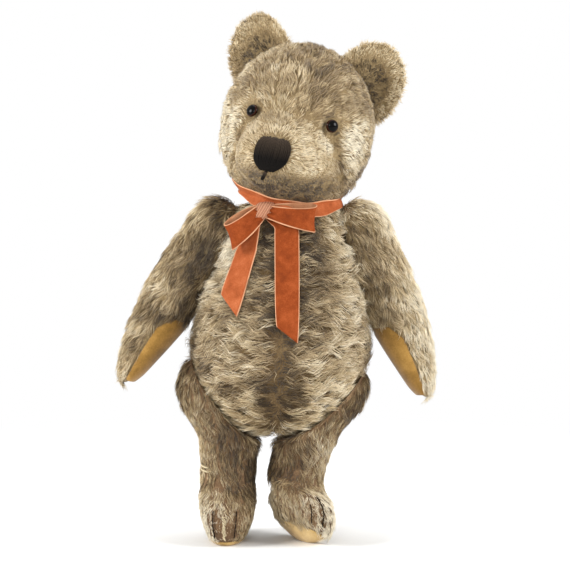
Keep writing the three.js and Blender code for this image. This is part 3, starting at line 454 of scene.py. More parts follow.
# round thread along each row of paths (count, steps, 3), its section carried by the way out of the cloth
def threadMesh(name, paths, normals, radius, sides=6):
    count, steps = paths.shape[:2]
    forward = unit(np.gradient(paths, axis=1))
    side = unit(np.cross(normals, forward))
    out = np.cross(forward, side)
    turn = 2 * np.pi * np.arange(sides) / sides
    radius = np.broadcast_to(np.asarray(radius, float), (count, steps))[..., None, None]
    ring = side[:, :, None] * np.cos(turn)[:, None] + out[:, :, None] * np.sin(turn)[:, None]
    points = (paths[:, :, None] + radius * ring).reshape(-1, 3)
    start = (np.arange(count)[:, None, None] * steps + np.arange(steps - 1)[None, :, None]) * sides
    i = np.arange(sides)
    j = (i + 1) % sides
    quads = np.stack([start + i, start + j, start + sides + j, start + sides + i], -1).reshape(-1, 4)
    first = np.arange(count) * steps * sides
    ends = np.concatenate([
        (first[:, None] + i[::-1]), (first[:, None] + (steps - 1) * sides + i)])
    corners = np.concatenate([quads.ravel(), ends.ravel()])
    sizes = np.concatenate([np.full(len(quads), 4), np.full(len(ends), sides)])
    uvLong = np.concatenate([
        np.broadcast_to((np.arange(steps - 1)[None, :, None, None] + np.array([0, 0, 1, 1])) / (steps - 1),
                        (count, steps - 1, sides, 4)).ravel(),
        np.full(ends.size, 0.01)])
    uvRound = np.concatenate([
        np.broadcast_to((i[:, None] + np.array([0, 1, 1, 0])) / sides, (count, steps - 1, sides, 4)).ravel(),
        np.broadcast_to(i / sides, ends.shape).ravel()])
    return meshFrom(name, metres(points), corners, sizes, np.stack([uvLong, uvRound], 1))


# colours and materials
def linear(code):
    levels = np.array([int(code[i:i + 2], 16) for i in (1, 3, 5)]) / 255
    levels = np.where(levels <= 0.04045, levels / 12.92, ((levels + 0.055) / 1.055) ** 2.4)
    return (*levels.tolist(), 1.0)


def addNode(tree, kind, inputs=None, stops=None, **settings):
    node = tree.nodes.new(kind)
    for key, value in settings.items():
        setattr(node, key, value)
    for key, value in (inputs or {}).items():
        if isinstance(value, bpy.types.NodeSocket):
            tree.links.new(value, node.inputs[key])
        else:
            node.inputs[key].default_value = value
    if stops:
        ramp = node.color_ramp
        while len(ramp.elements) < len(stops):
            ramp.elements.new(0.5)
        for element, (place, code) in zip(ramp.elements, stops):
            element.position = place
            element.color = linear(code)
    return node


def newMaterial(name, **shader):
    material = bpy.data.materials.new(name)
    material.use_nodes = True
    tree = material.node_tree
    tree.nodes.clear()
    body = addNode(tree, "ShaderNodeBsdfPrincipled", shader)
    addNode(tree, "ShaderNodeOutputMaterial", {"Surface": body.outputs[0]})
    return material, tree, body


def objectPlace(tree):
    return addNode(tree, "ShaderNodeTexCoord").outputs["Object"]


def mapPlace(tree, layer):
    return addNode(tree, "ShaderNodeUVMap", uv_map=layer).outputs[0]


# the parts of a place, each a value of its own
def partsOf(tree, place):
    return addNode(tree, "ShaderNodeSeparateXYZ", {0: place}).outputs


def noise(tree, place, scale, detail, **more):
    inputs = {"Vector": place, "Scale": scale, "Detail": detail, **more}
    return addNode(tree, "ShaderNodeTexNoise", inputs).outputs[0]


def blend(tree, share, first, second):
    return addNode(tree, "ShaderNodeMix", {0: share, 2: first, 3: second}, data_type="FLOAT").outputs[0]


def colourBlend(tree, share, first, second, **settings):
    inputs = {0: share, 6: first, 7: second}
    return addNode(tree, "ShaderNodeMix", inputs, data_type="RGBA", **settings).outputs[2]


def ramp(tree, value, *stops):
    return addNode(tree, "ShaderNodeValToRGB", {0: value}, stops=stops).outputs[0]


# gives a material its colour and, where a height is given, its fine relief, whose depth is in metres
def dress(tree, body, colour, height=None, strength=0.0, depth=0.0):
    tree.links.new(colour, body.inputs["Base Color"])
    if height is not None:
        relief = addNode(tree, "ShaderNodeBump", {"Strength": strength, "Distance": depth, "Height": height})
        tree.links.new(relief.outputs[0], body.inputs["Normal"])


# worn mohair: glossy goat hair, pale where light and wear reach it and brown near the backing, where the
# darker roots are painted shade deep in the pile
def mohairPile():
    material, tree, body = newMaterial("worn mohair pile", Roughness=0.62)
    body.inputs["Specular IOR Level"].default_value = 0.35
    body.inputs["Sheen Weight"].default_value = 0.12
    body.inputs["Sheen Roughness"].default_value = 0.5
    parts = partsOf(tree, mapPlace(tree, "OFBake"))
    tone = ramp(tree, parts[0], (0.0, "#33240f"), (0.25, "#907852"), (0.5, "#c8b188"), (0.75, "#ead9b6"),
                (1.0, "#fdf4de"))
    # painted shade: each strand darkens towards its root as if shaded inside the pile
    depth = ramp(tree, parts[1], (0.0, "#6b5b44"), (0.35, "#c9bfae"), (0.75, "#ffffff"))
    dress(tree, body, colourBlend(tree, 1.0, tone, depth, blend_type="MULTIPLY"))
    return material


# woven backing under the pile: brown cotton, with hair stubble in streaks about 1.5 mm apart; its colours are
# kept dark as painted shade, so that the gaps between strands read as shaded pile
def mohairBacking(name, dark, middle, pale):
    material, tree, body = newMaterial(name, Roughness=0.9)
    place = objectPlace(tree)
    broad = noise(tree, place, 60.0, 4.0)
    fine = noise(tree, place, 650.0, 3.0, Distortion=0.6)
    colour = ramp(tree, blend(tree, 0.55, broad, fine), (0.3, dark), (0.5, middle), (0.68, pale))
    dress(tree, body, colour, fine, 0.5, 0.0008)
    return material


# pressed wool felt: matted fibres, paler and darker in broad patches
def rubbedFelt(name, dark, middle, pale):
    material, tree, body = newMaterial(name, Roughness=0.95)
    body.inputs["Specular IOR Level"].default_value = 0.2
    body.inputs["Sheen Weight"].default_value = 0.25
    place = objectPlace(tree)
    broad = noise(tree, place, 55.0, 5.0)
    fibre = noise(tree, place, 900.0, 4.0, Distortion=1.2)
    colour = ramp(tree, blend(tree, 0.35, broad, fibre), (0.33, dark), (0.5, middle), (0.66, pale))
    dress(tree, body, colour, fibre, 0.35, 0.0005)
    return material


# twisted cotton thread: a fine slant across the strand from its two plies, with painted light and shade along
# its length, from the lit colour at its start to the end colour
def twistedThread(name, dark, pale, roughness, lit="#ffffff", end="#ffffff"):
    material, tree, body = newMaterial(name, Roughness=roughness)
    body.inputs["Specular IOR Level"].default_value = 0.12
    place = mapPlace(tree, "weave")
    inputs = {0: place, "Rotation": (0, 0, 0.5), "Scale": (9, 2, 1)}
    twist = addNode(tree, "ShaderNodeMapping", inputs).outputs[0]
    ply = addNode(tree, "ShaderNodeTexWave", {"Vector": twist, "Scale": 1.0, "Distortion": 0.6}).outputs[0]
    colour = ramp(tree, ply, (0.2, dark), (0.8, pale))
    paintedLightAlong = ramp(tree, partsOf(tree, place)[0], (0.05, lit), (0.6, end))
    dress(tree, body, colourBlend(tree, 1.0, colour, paintedLightAlong, blend_type="MULTIPLY"), ply, 0.4, 0.0002)
    return material


# faded velvet ribbon: short pile with a soft edge glow, woven pale selvedges and a smooth pinkish reverse
def fadedVelvet(name, dark, middle, pale):
    material, tree, body = newMaterial(name, Roughness=0.85)
    body.inputs["Specular IOR Level"].default_value = 0.15
    body.inputs["Sheen Weight"].default_value = 0.12
    body.inputs["Sheen Roughness"].default_value = 0.4
    body.inputs["Sheen Tint"].default_value = linear("#e8a070")
    parts = partsOf(tree, mapPlace(tree, "weave"))
    place = objectPlace(tree)
    crush = noise(tree, place, 90.0, 6.0, Roughness=0.65)
    level = blend(tree, 0.3, crush, noise(tree, place, 1500.0, 2.0))
    velvet = ramp(tree, level, (0.3, dark), (0.5, middle), (0.7, pale))
    reverse = ramp(tree, level, (0.35, "#9c6443"), (0.65, "#bd8a66"))
    selvedge = ramp(tree, parts[1], (0.0, "#ffffff"), (0.03, "#ffffff"), (0.038, "#000000"),
                    (0.462, "#000000"), (0.47, "#ffffff"), (0.5, "#ffffff"))
    onBack = addNode(tree, "ShaderNodeMath", {0: parts[1], 1: 0.5}, operation="GREATER_THAN").outputs[0]
    front = colourBlend(tree, selvedge, velvet, linear("#cf9a76"))
    dress(tree, body, colourBlend(tree, onBack, front, reverse), level, 0.3, 0.0004)
    return material


# reverse of the velvet: plain pinkish ground with fine ribs about 1.2 mm apart
def velvetReverse():
    material, tree, body = newMaterial("velvet reverse", Roughness=0.8)
    slant = addNode(tree, "ShaderNodeMapping", {0: objectPlace(tree), "Rotation": (0, 0.35, 0)}).outputs[0]
    inputs = {"Vector": slant, "Scale": 260.0, "Distortion": 1.5, "Detail": 2.0}
    rib = addNode(tree, "ShaderNodeTexWave", inputs).outputs[0]
    dress(tree, body, ramp(tree, rib, (0.1, "#7f4a30"), (0.5, "#aa7353"), (0.9, "#c89272")), rib, 0.5, 0.0005)
    return material


# blown glass, black behind with a thin brown ring: smooth, with one clear highlight
def eyeGlass():
    material, tree, body = newMaterial("black eye glass", Roughness=0.05)
    body.inputs["Specular IOR Level"].default_value = 0.1
    parts = partsOf(tree, mapPlace(tree, "weave"))
    ring = ramp(tree, parts[0], (0.0, "#030202"), (0.8, "#040302"), (0.9, "#381809"), (0.98, "#1a0b05"))
    dress(tree, body, ring)
    return material


# pressed hardboard of the joint discs: brown fibre flecks
def pressedBoard():
    material, tree, body = newMaterial("pressed hardboard", Roughness=0.8)
    fleck = noise(tree, objectPlace(tree), 700.0, 5.0)
    dress(tree, body, ramp(tree, fleck, (0.35, "#4a3322"), (0.65, "#7c5a3c")))
    return material


# plain steel wire and washers: drawn grey metal with faint tarnish
def plainSteel():
    material, tree, body = newMaterial("drawn steel wire", Metallic=1.0)
    tarnish = noise(tree, objectPlace(tree), 300.0, 4.0)
    rough = addNode(tree, "ShaderNodeMapRange", {0: tarnish, 3: 0.3, 4: 0.55}).outputs[0]
    dress(tree, body, ramp(tree, tarnish, (0.35, "#8a8580"), (0.65, "#b9b7b3")))
    tree.links.new(rough, body.inputs["Roughness"])
    return material


materials = {
    "pile": mohairPile(),
    "backing": mohairBacking("mohair backing cloth", "#3a2a14", "#5b4628", "#7f6946"),
    "backingWorn": mohairBacking("rubbed mohair backing cloth", "#48331d", "#684e33", "#8a7050"),
    "backingPale": mohairBacking("faded mohair backing cloth", "#5e4a2e", "#7e6a48", "#9f8b67"),
    "pawFelt": rubbedFelt("rubbed paw felt", "#62461a", "#85622a", "#a27c3e"),
    "soleFelt": rubbedFelt("rubbed sole felt", "#8a6c3c", "#b8975c", "#d3b67e"),
    # painted light and shade: the nose and mouth threads are lighter at the top and darker further down
    "blackThread": twistedThread("black embroidery thread", "#1a1511", "#4a3d31", 0.75, "#ffffff", "#4a4642"),
    "wornThread": twistedThread("faded claw thread", "#0c0906", "#2c2117", 0.9),
    "creamThread": twistedThread("cream sewing thread", "#b7a684", "#ddcfae", 0.8),
    "velvet": fadedVelvet("faded velvet ribbon", "#642809", "#843a13", "#a25026"),
    # painted light: a lit copy of the velvet with paler stops, for the band and the right tail
    "velvetPale": fadedVelvet("velvet ribbon brushed pale", "#803c1a", "#a0522b", "#b96b43"),
    "velvetReverse": velvetReverse(),
    "glass": eyeGlass(),
    "board": pressedBoard(),
    "steel": plainSteel(),
}
for name, node in frame["nodes"].items():
    if name.endswith("disc"):
        node.data.materials.clear()
        node.data.materials.append(materials["board"])
    elif name.endswith(("washer", "pin")) or name.startswith("eye_shank"):
        node.data.materials.clear()
        node.data.materials.append(materials["steel"])
print("materials ready")


def finishPiece(piece, body, slot, material, *nodes):
    piece.data.materials.append(materials[material])
    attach(piece, body)
    if nodes:
        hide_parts(*nodes)


# stuffed skins
skinDetail = {"torso": (60, 84), "head": (60, 84), "arm": (48, 44), "leg": (50, 48), "ear": (30, 26)}


# pushes what passes a joint's seat back onto the seat; keep says on which side the piece lies
def pressOnSeat(joint, points, keep):
    w = (points - joint["centre"]) @ joint["axis"]
    over = np.maximum(-keep * w + seatGap / 2, 0)
    return points + keep * over[..., None] * joint["axis"]


# a leg hugs the body by a shallow dome of revolution round the hip's axis
def pressOnHip(joint, points):
    local = toJoint(joint, points)
    hollow = jointForm["hipHollow"]
    r = np.hypot(local[..., 0], local[..., 2])
    reach = np.clip(r - joint["board"] / 2, 0, 0.95 * hollow)
    floor = seatGap / 2 - (hollow - np.sqrt(hollow ** 2 - reach ** 2))
    local[..., 1] = np.maximum(local[..., 1], floor)
    return fromJoint(joint, local)


def roundAngles(columns):
    return 2 * np.pi * np.arange(columns) / columns


def torsoGrid():
    rows, columns = skinDetail["torso"]
    share, angle = np.meshgrid(eased(0, 1, rows), roundAngles(columns), indexing="ij")
    grid = torsoPoint(share, angle)
    for joint in joints.values():
        grid = pressOnSeat(joint, grid, -1)
    return grid, share, angle


faceForm = {
    "ahead": (-5, -30), "lineLean": 0.3, "crease": 6, "creaseStart": (-46, -30), "creaseEnd": (4, 14),
    "creaseDent": 4.5, "padShift": 2, "padOut": 25, "padWidth": 8, "padDrop": 21, "padHeight": 15,
    "padSwell": 3.0, "socket": 9, "socketDent": 1.6,
}


# how far inside the two lines that run from the eyes down beside the muzzle
def insideLine(x, z):
    return eyeForm["spread"] + faceForm["lineLean"] * (eyeForm["lift"] - z) - np.abs(x - eyeForm["shift"])


# the worn face: dents along the creases beside the muzzle and round the eyes, fuller whisker pads
def faceRelief(q):
    form = faceForm
    x, y, z = q[..., 0], q[..., 1], q[..., 2]
    ahead = ease(*form["ahead"], y)
    crease = stripe(insideLine(x, z), 0, form["crease"])
    crease = crease * ease(*form["creaseStart"], z) * (1 - ease(*form["creaseEnd"], z)) * ahead
    padX = (np.abs(x - form["padShift"]) - form["padOut"]) / form["padWidth"]
    padZ = (z + form["padDrop"]) / form["padHeight"]
    pads = np.exp(-padX ** 2 - padZ ** 2) * ahead
    relief = form["padSwell"] * pads - form["creaseDent"] * crease
    for side in sideSign:
        relief = relief - form["socketDent"] * spot(q, eyePoint(side), form["socket"])
    return relief


def headGrid():
    rows, columns = skinDetail["head"]
    fromSnout = np.pi * (np.arange(rows + 1) / rows) ** 1.15
    polar, angle = np.meshgrid(fromSnout, roundAngles(columns), indexing="ij")
    ahead, aside = unit(snoutMiddle), np.array([1.0, 0, 0])
    above = np.cross(aside, ahead)
    around = aside * np.cos(angle)[..., None] + above * np.sin(angle)[..., None]
    direction = ahead * np.cos(polar)[..., None] + around * np.sin(polar)[..., None]
    local = direction * headRadius(direction)[..., None]
    grid = fromHead(local + direction * faceRelief(local)[..., None])
    return pressOnSeat(joints["neck"], grid, 1), polar, angle


def armGrid(side):
    rows, columns = skinDetail["arm"]
    down = eased(-armForm["top"], armForm["reach"], rows)
    distance, angle = np.meshgrid(down, roundAngles(columns), indexing="ij")
    local = armPoint(side, distance, angle)
    local[..., 1] = np.maximum(local[..., 1], seatGap / 2)
    return fromJoint(joints["shoulder_" + side], local), distance, angle


def legGrid(side):
    rows, columns = skinDetail["leg"]
    base = legForm[side]["sole"]
    shares = np.array([0, 0.3, 0.6, 0.72, 0.8, 0.88, 0.95])
    heights = base + (legForm["top"] - base) * np.sin(np.linspace(0, np.pi / 2, rows))
    angle = roundAngles(columns)
    under = np.stack([solePoint(side, np.full(columns, share), angle) for share in shares])
    under[..., 2] += legForm["felt"]
    upper = np.stack([legPoint(side, np.full(columns, height), angle) for height in heights])
    grid = pressOnHip(joints["hip_" + side], np.concatenate([under, upper]))
    height = np.concatenate([base - legForm["soleDepth"] * (1 - shares), heights])
    return grid, *np.meshgrid(height, angle, indexing="ij")


def earGrid(side):
    rows, columns = skinDetail["ear"]
    share, angle = np.meshgrid(np.linspace(0, 1, rows + 1), roundAngles(columns) + 1e-4, indexing="ij")
    local = earLocal(share, angle)
    turn, seat = earPlace(side)
    ends = [np.broadcast_to(local[i].mean(0), local[i].shape)[None] for i in (0, -1)]
    local = np.concatenate([ends[0], local, ends[1]])
    share = np.concatenate([share[:1], share, share[-1:]])
    angle = np.concatenate([angle[:1], angle, angle[-1:]])
    return fromHead(local @ turn.T + seat), share, angle


clawForm = {
    "radius": 0.6, "lift": -1, "stand": 1.7, "stitches": 5,
    "left": {"outer": (105, 24), "inner": (129, 15)}, "right": {"outer": (114, 22), "inner": (66, 22)},
}
padForm = {
    "lift": 0.5, "thickness": 2.6, "spread": 84,
    "soleShare": {"left": 0.76, "right": 0.8}, "soleThickness": 1.5,
}


# stuffing swells the skin: cloth under pressure with its seats held, each point moved by at most the cap
stuffForm = {"pressure": 4.0, "frames": 14, "cap": 2.0, "held": 9.0, "floorBand": 14}


def stuffSkin(piece, grid, seats):
    points = np.concatenate([grid[0, :1], grid[1:-1].reshape(-1, 3), grid[-1, :1]])
    held = points[:, 2] < stuffForm["floorBand"]
    for joint in seats:
        held |= np.abs((points - joint["centre"]) @ joint["axis"]) < stuffForm["held"]
    piece.vertex_groups.new(name="held").add(np.nonzero(held)[0].tolist(), 1.0, "REPLACE")
    cloth = piece.modifiers.new("stuffing", "CLOTH")
    cloth.settings.use_pressure = True
    cloth.settings.uniform_pressure_force = stuffForm["pressure"]
    cloth.settings.effector_weights.gravity = 0
    cloth.settings.vertex_group_mass = "held"
    for shot in range(1, stuffForm["frames"] + 1):
        bpy.context.scene.frame_set(shot)
    swollen = piece.evaluated_get(bpy.context.evaluated_depsgraph_get()).to_mesh()
    after = np.zeros(len(points) * 3)
    swollen.vertices.foreach_get("co", after)
    move = np.nan_to_num(after.reshape(-1, 3) * 1000 - shift - points)
    size = np.linalg.norm(move, axis=1, keepdims=True)
    points = points + move * np.minimum(1, stuffForm["cap"] / np.maximum(size, 1e-6))
    piece.modifiers.remove(cloth)
    piece.vertex_groups.clear()
    piece.data.vertices.foreach_set("co", metres(points).astype(np.float32).ravel())
    piece.data.update()
    bpy.context.scene.frame_set(1)
    grid = grid.copy()
    grid[0], grid[-1] = points[0], points[-1]
    grid[1:-1] = points[1:-1].reshape(grid[1:-1].shape)
    print(piece.name, "swollen by up to", round(float(size.max()), 2), "mm before the cap")
    return grid


grids = {"torso": torsoGrid(), "head": headGrid()}
for side in sideSign:
    grids["arm_" + side] = armGrid(side)
    grids["leg_" + side] = legGrid(side)
    grids["ear_" + side] = earGrid(side)
bodyOf = {name: "head" if name.startswith("ear") else name for name in grids}
seatOf = {"neck": "head"}
for side in sideSign:
    seatOf["shoulder_" + side] = "arm_" + side
    seatOf["hip_" + side] = "leg_" + side
for name, (grid, station, angle) in list(grids.items()):
    kind = name.split("_")[0]
    skin = skinMesh(name + "_skin", grid)
    if kind != "ear":
        seats = [joint for key, joint in joints.items() if name in ("torso", seatOf.get(key))]
        grids[name] = (stuffSkin(skin, grid, seats), station, angle)
    cloth = {"torso": "backing", "leg": "backingWorn"}.get(kind, "backingPale")
    finishPiece(skin, bodyOf[name], "mohair", cloth, name)
print("skins made:", len(grids))

# ribbon
ribbonForm = {
    "width": 21, "thickness": 0.9, "collarWidth": 13, "collarPinch": 9.5, "flare": 0.5, "ease": 4,
    "sideLift": 9, "frontLift": -3, "bowAngle": 119, "bowDrop": 6, "knot": 15,
    "loopDepth": 15, "tailLift": 4.5,
    "loops": {"left": (41, 6, 7, 4, 0.9), "right": (-27, 20, 8, -18, 0.4)},
    "tails": {"left": (19, 98, -38, 9, 8), "right": (-25, 76, -50, 1, 2.5)},
}
neck = joints["neck"]
collarAside = np.linalg.norm(torsoAt(neckShare, 0) - neck["centre"]) + ribbonForm["ease"]
collarAhead = np.linalg.norm(torsoAt(neckShare, np.pi / 2) - neck["centre"]) + 2 * ribbonForm["ease"]
collarBehind = np.linalg.norm(torsoAt(neckShare, -np.pi / 2) - neck["centre"]) + ribbonForm["ease"]
bowTurn = math.radians(ribbonForm["bowAngle"])
bowLocal = np.array([
    (collarAside + 0.45 * ribbonForm["knot"]) * math.cos(bowTurn),
    3 - 6 * math.sin(bowTurn) ** 2,
    (collarAhead + 0.45 * ribbonForm["knot"]) * math.sin(bowTurn)])
bowPlace = fromJoint(neck, bowLocal) + np.array([0, 0, -ribbonForm["bowDrop"]])


# how far out the head reaches round the neck's axis at a turn and a height, found by halving
def headReach(angle, height):
    low, high = np.zeros_like(angle), np.full_like(angle, 90.0)
    for attempt in range(22):
        middle = (low + high) / 2
        tried = np.stack([middle * np.cos(angle), height, middle * np.sin(angle)], -1)
        local = toHead(fromJoint(neck, tried))
        inside = np.linalg.norm(local, axis=-1) < headRadius(unit(local))
        low, high = np.where(inside, middle, low), np.where(inside, high, middle)
    return high


# a ribbon from its front surface: rows run along it and columns across; hint says which way is out
def ribbonSheet(name, front, hint, closed=False):
    lengthwise = np.roll(front, -1, 0) - np.roll(front, 1, 0) if closed else np.gradient(front, axis=0)
    out = unit(np.cross(lengthwise, np.gradient(front, axis=1)))
    out = np.where(along(out, hint) < 0, -out, out)
    return sheetMesh(name, front, front - out * ribbonForm["thickness"], closed)


# band: a ring that lies on the chest's neckline in front and rises against the cheeks at the sides
angle, v = np.meshgrid(roundAngles(110), np.linspace(-1, 1, 9), indexing="ij")
ahead = np.maximum(np.sin(angle), 0)
width = ribbonForm["collarPinch"] + (ribbonForm["collarWidth"] - ribbonForm["collarPinch"]) * ahead ** 2
lift = ribbonForm["sideLift"] + (ribbonForm["frontLift"] - ribbonForm["sideLift"]) * ahead ** 1.5
height = lift + 0.46 * width * v
flare = ribbonForm["flare"] * width * (v - 0.6) / 2
aside = collarAside + 2 - flare
deep = np.where(np.sin(angle) > 0, collarAhead, collarBehind) + 2 - flare
reach = 1 / np.sqrt((np.cos(angle) / aside) ** 2 + (np.sin(angle) / deep) ** 2)
reach = np.maximum(reach, headReach(angle, height) + 2.5)
local = np.stack([reach * np.cos(angle), height + 0.5 * np.sin(9 * angle) * v, reach * np.sin(angle)], -1)
outward = np.stack([np.cos(angle), 0 * angle, np.sin(angle)], -1) @ neck["rows"]
band = ribbonSheet("ribbon_band", fromJoint(neck, local), outward, closed=True)
# the band wears the lit copy of the velvet: painted light
finishPiece(band, "torso", "velvet", "velvetPale", "ribbon_bow")

# loops: a flattened ring from the knot to the tip and back, narrow and pleated at the knot
for side, (aside, drop, ahead, lean, flare) in ribbonForm["loops"].items():
    root = bowPlace + np.array([0, -3.0, 0])
    tip = bowPlace + np.array([aside, -ahead, -drop])
    way = unit(tip - root)
    across = np.array([math.sin(math.radians(lean)), 0, math.cos(math.radians(lean))])
    turn, v = np.meshgrid(roundAngles(64), np.linspace(-1, 1, 9), indexing="ij")
    share = 0.5 - 0.5 * np.cos(turn)
    belly = 0.5 * ribbonForm["loopDepth"] * np.sin(turn) * np.sqrt(share + 0.08) * (1 - 0.25 * v)
    pleat = 1.6 * np.cos(2.5 * np.pi * v) * (1 - share) ** 1.5
    pleat = pleat + 1.4 * np.sin(2.4 * v + 5 * share) * 4 * share * (1 - share)
    width = ribbonForm["width"] * (0.4 + 0.6 * share ** flare) * (1 + 0.06 * np.sin(turn))
    apart = 2.2 * np.sin(turn) * np.sqrt(share)
    front = root + (tip - root) * share[..., None] + across * (v * width / 2 + apart)[..., None]
    front = front + np.array([0, 1.0, 0]) * (belly + pleat)[..., None]
    front = front + way * (1.5 * v * v * share)[..., None]
    hint = np.array([0, 1.0, 0]) * np.sin(turn)[..., None] - way * np.cos(turn)[..., None]
    loop = ribbonSheet("bow_loop_" + side, front, hint, closed=True)
    finishPiece(loop, "torso", "velvet", "velvet", "ribbon_bow")


# the chest straight ahead of a place across and up: the point and the ways sideways, up and out
def chestPlace(x, z):
    def onChest(across, height):
        share = (height - torsoForm["base"]) / torsoForm["height"]
        edge = torsoPoint(share, 0 * share)[..., 0]
        middle = (edge + torsoPoint(share, 0 * share + np.pi)[..., 0]) / 2
        return torsoPoint(share, np.arccos(np.clip((across - middle) / (edge - middle), -1, 1)))

    reach = 4
    sideways = unit(onChest(x + reach, z) - onChest(x - reach, z))
    upwards = unit(onChest(x, z + reach) - onChest(x, z - reach))
    return onChest(x, z), sideways, upwards, unit(np.cross(sideways, upwards))


# tails: hang from the knot, lie on the chest and end in a slanted cut
tailLines = []
for side, (aside, drop, slant, swing, spread) in ribbonForm["tails"].items():
    share = np.linspace(0, 1, 50)
    start = bowPlace + np.array([0.1 * aside, 0, -0.3 * ribbonForm["knot"]])
    x = start[0] + 0.9 * aside * np.minimum(1, swing * share)
    z = start[2] - (drop - 0.3 * ribbonForm["knot"]) * share
    line, sideways, upwards, out = chestPlace(x, z)
    line = line + out * ribbonForm["tailLift"]
    line[:, 1] = np.minimum(line[:, 1], bowPlace[1] + (line[:, 1] - bowPlace[1]) * np.minimum(1, 3 * share))
    line[:, 1] += 3.5 * (1 - ease(0, 0.15, share))
    tilt = np.radians(slant * share ** 4)
    across = sideways * np.cos(tilt)[:, None] + upwards * np.sin(tilt)[:, None]
    width = ribbonForm["width"] * (0.42 + 0.52 * np.minimum(1, spread * share)) / np.cos(0.6 * tilt)
    v = np.linspace(-1, 1, 9)
    curl = 0.5 * (1 - v * v) + 0.9 * np.cos(2.5 * np.pi * v) * (np.clip(1 - 3 * share, 0, 1) ** 2)[:, None]
    curl = curl + 0.7 * np.sin(5 * share + aside)[:, None] * v
    front = line[:, None] + across[:, None] * (v[:, None] * width[:, None, None] / 2)
    front = front + out[:, None] * curl[..., None]
    tail = ribbonSheet("bow_tail_" + side, front, np.broadcast_to(out[:, None], front.shape))
    # the right tail wears the lit copy of the velvet: painted light
    finishPiece(tail, "torso", "velvet", "velvet" if side == "left" else "velvetPale", "ribbon_bow")
    lean = (sideways[:, 1] / sideways[:, 0])[::-1]
    tailLines.append((line[::-1], width[::-1] / 2 + 3.5, lean, across[-1, 2] / across[-1, 0]))


# hair under a ribbon tail is pressed flat behind it
def underTails(points):
    for line, half, lean, cut in tailLines:
        x, y, z = points[..., 0], points[..., 1], points[..., 2]
        end = line[0]
        aside = x - np.interp(z, line[:, 2], line[:, 0])
        above = z - end[2] - cut * (x - end[0]) > -2
        under = (np.abs(aside) < np.interp(z, line[:, 2], half)) & above & (z < line[-1, 2]) & (y < -20)
        slope = (line[3, 1] - end[1]) / (line[3, 2] - end[2])
        behind = np.interp(z, line[:, 2], line[:, 1]) + slope * np.minimum(z - end[2], 0) + 1.8
        behind = behind + aside * np.interp(z, line[:, 2], lean)
        points[..., 1] = np.where(under, np.maximum(y, behind), y)
    return points


# knot: a barrel of ribbon wrapped reverse side out, with slanting pleats
turn, rise = np.meshgrid(roundAngles(72), np.linspace(-1, 1, 19), indexing="xy")
pleat = 1 + 0.045 * np.sin(13 * turn + 2.5 * rise)
radius = ribbonForm["knot"] / 2 * (1 - np.abs(rise) ** 3.5) ** 0.4 * pleat
radius[0] = radius[-1] = 0
knotGrid = bowPlace + np.stack([
    1.08 * radius * np.cos(turn) + 0.2 * rise * ribbonForm["knot"],
    -radius * np.sin(turn),
    rise * ribbonForm["knot"] * 0.5], -1)
knot = skinMesh("bow_knot", knotGrid)
finishPiece(knot, "torso", "velvet", "velvetReverse", "ribbon_bow")
print("ribbon made")

# mohair pile
pileForm = {
    "strands": {"torso": 27000, "head": 32500, "arm": 14000, "leg": 13500, "ear": 6000},
    "lock": {"torso": 6.5, "head": 6.0, "arm": 5.5, "leg": 5.0, "ear": 4.0},
}
lattice = 40
pileTable = np.random.default_rng(47).random((lattice, lattice, lattice, 8))


# smooth noise from 0 to 1: random numbers at the corners of a lattice, eased between them
def cloudAt(points, size, channel=0):
    q = points / size
    low = np.floor(q).astype(int)
    f = (q - low) ** 2 * (3 - 2 * (q - low))
    total = np.zeros(points.shape[:-1])
    for step in np.ndindex(2, 2, 2):
        i = (low + np.array(step)) % lattice
        weight = np.prod(np.where(np.array(step) == 1, f, 1 - f), -1)
        total += weight * pileTable[i[..., 0], i[..., 1], i[..., 2], channel]
    return total


# each root joins the nearest lock, whose middles are scattered one to a lattice cell, and takes its numbers
def locksAt(points, size):
    base = np.floor(points / size).astype(int)
    best = np.full(len(points), 1e9)
    middle, numbers = np.zeros_like(points), np.zeros((len(points), 5))
    for step in np.ndindex(3, 3, 3):
        cell = base + np.array(step) - 1
        i = cell % lattice
        draws = pileTable[i[:, 0], i[:, 1], i[:, 2]]
        place = (cell + draws[:, :3]) * size
        gap = np.sum((place - points) ** 2, 1)
        near = gap < best
        best[near], middle[near], numbers[near] = gap[near], place[near], draws[near, 3:]
    return middle, numbers


# outward normals of a grid, from its two tangents
def gridNormals(grid):
    normal = np.cross(np.gradient(grid, axis=0), np.roll(grid, -1, 1) - np.roll(grid, 1, 1))
    if np.sum(normal * (grid - grid.mean((0, 1)))) < 0:
        normal = -normal
    normal[0], normal[-1] = normal[1], normal[-2]
    return unit(normal)


# roots spread over a grid by area and weight; each value is mixed from its cell's four corners
def scatter(grid, values, weight, count):
    rows, columns = grid.shape[:2]
    diagonal = np.roll(grid, -1, 1)[1:] - grid[:-1]
    other = grid[1:] - np.roll(grid, -1, 1)[:-1]
    area = np.linalg.norm(np.cross(diagonal, other), axis=-1) / 2
    chance = np.cumsum((area * (weight[:-1] + weight[1:]) / 2).ravel())
    pick = np.searchsorted(chance, (np.arange(count) + draw.random(count)) / count * chance[-1])
    pick = np.minimum(pick, chance.size - 1)
    r, c = pick // columns, pick % columns
    s, t = draw.random((2, count))
    after = (c + 1) % columns
    found = []
    for value in values:
        s2, t2 = (s[:, None], t[:, None]) if value.ndim == 3 else (s, t)
        found.append((value[r, c] * (1 - s2) + value[r + 1, c] * s2) * (1 - t2)
                     + (value[r, after] * (1 - s2) + value[r + 1, after] * s2) * t2)
    return found


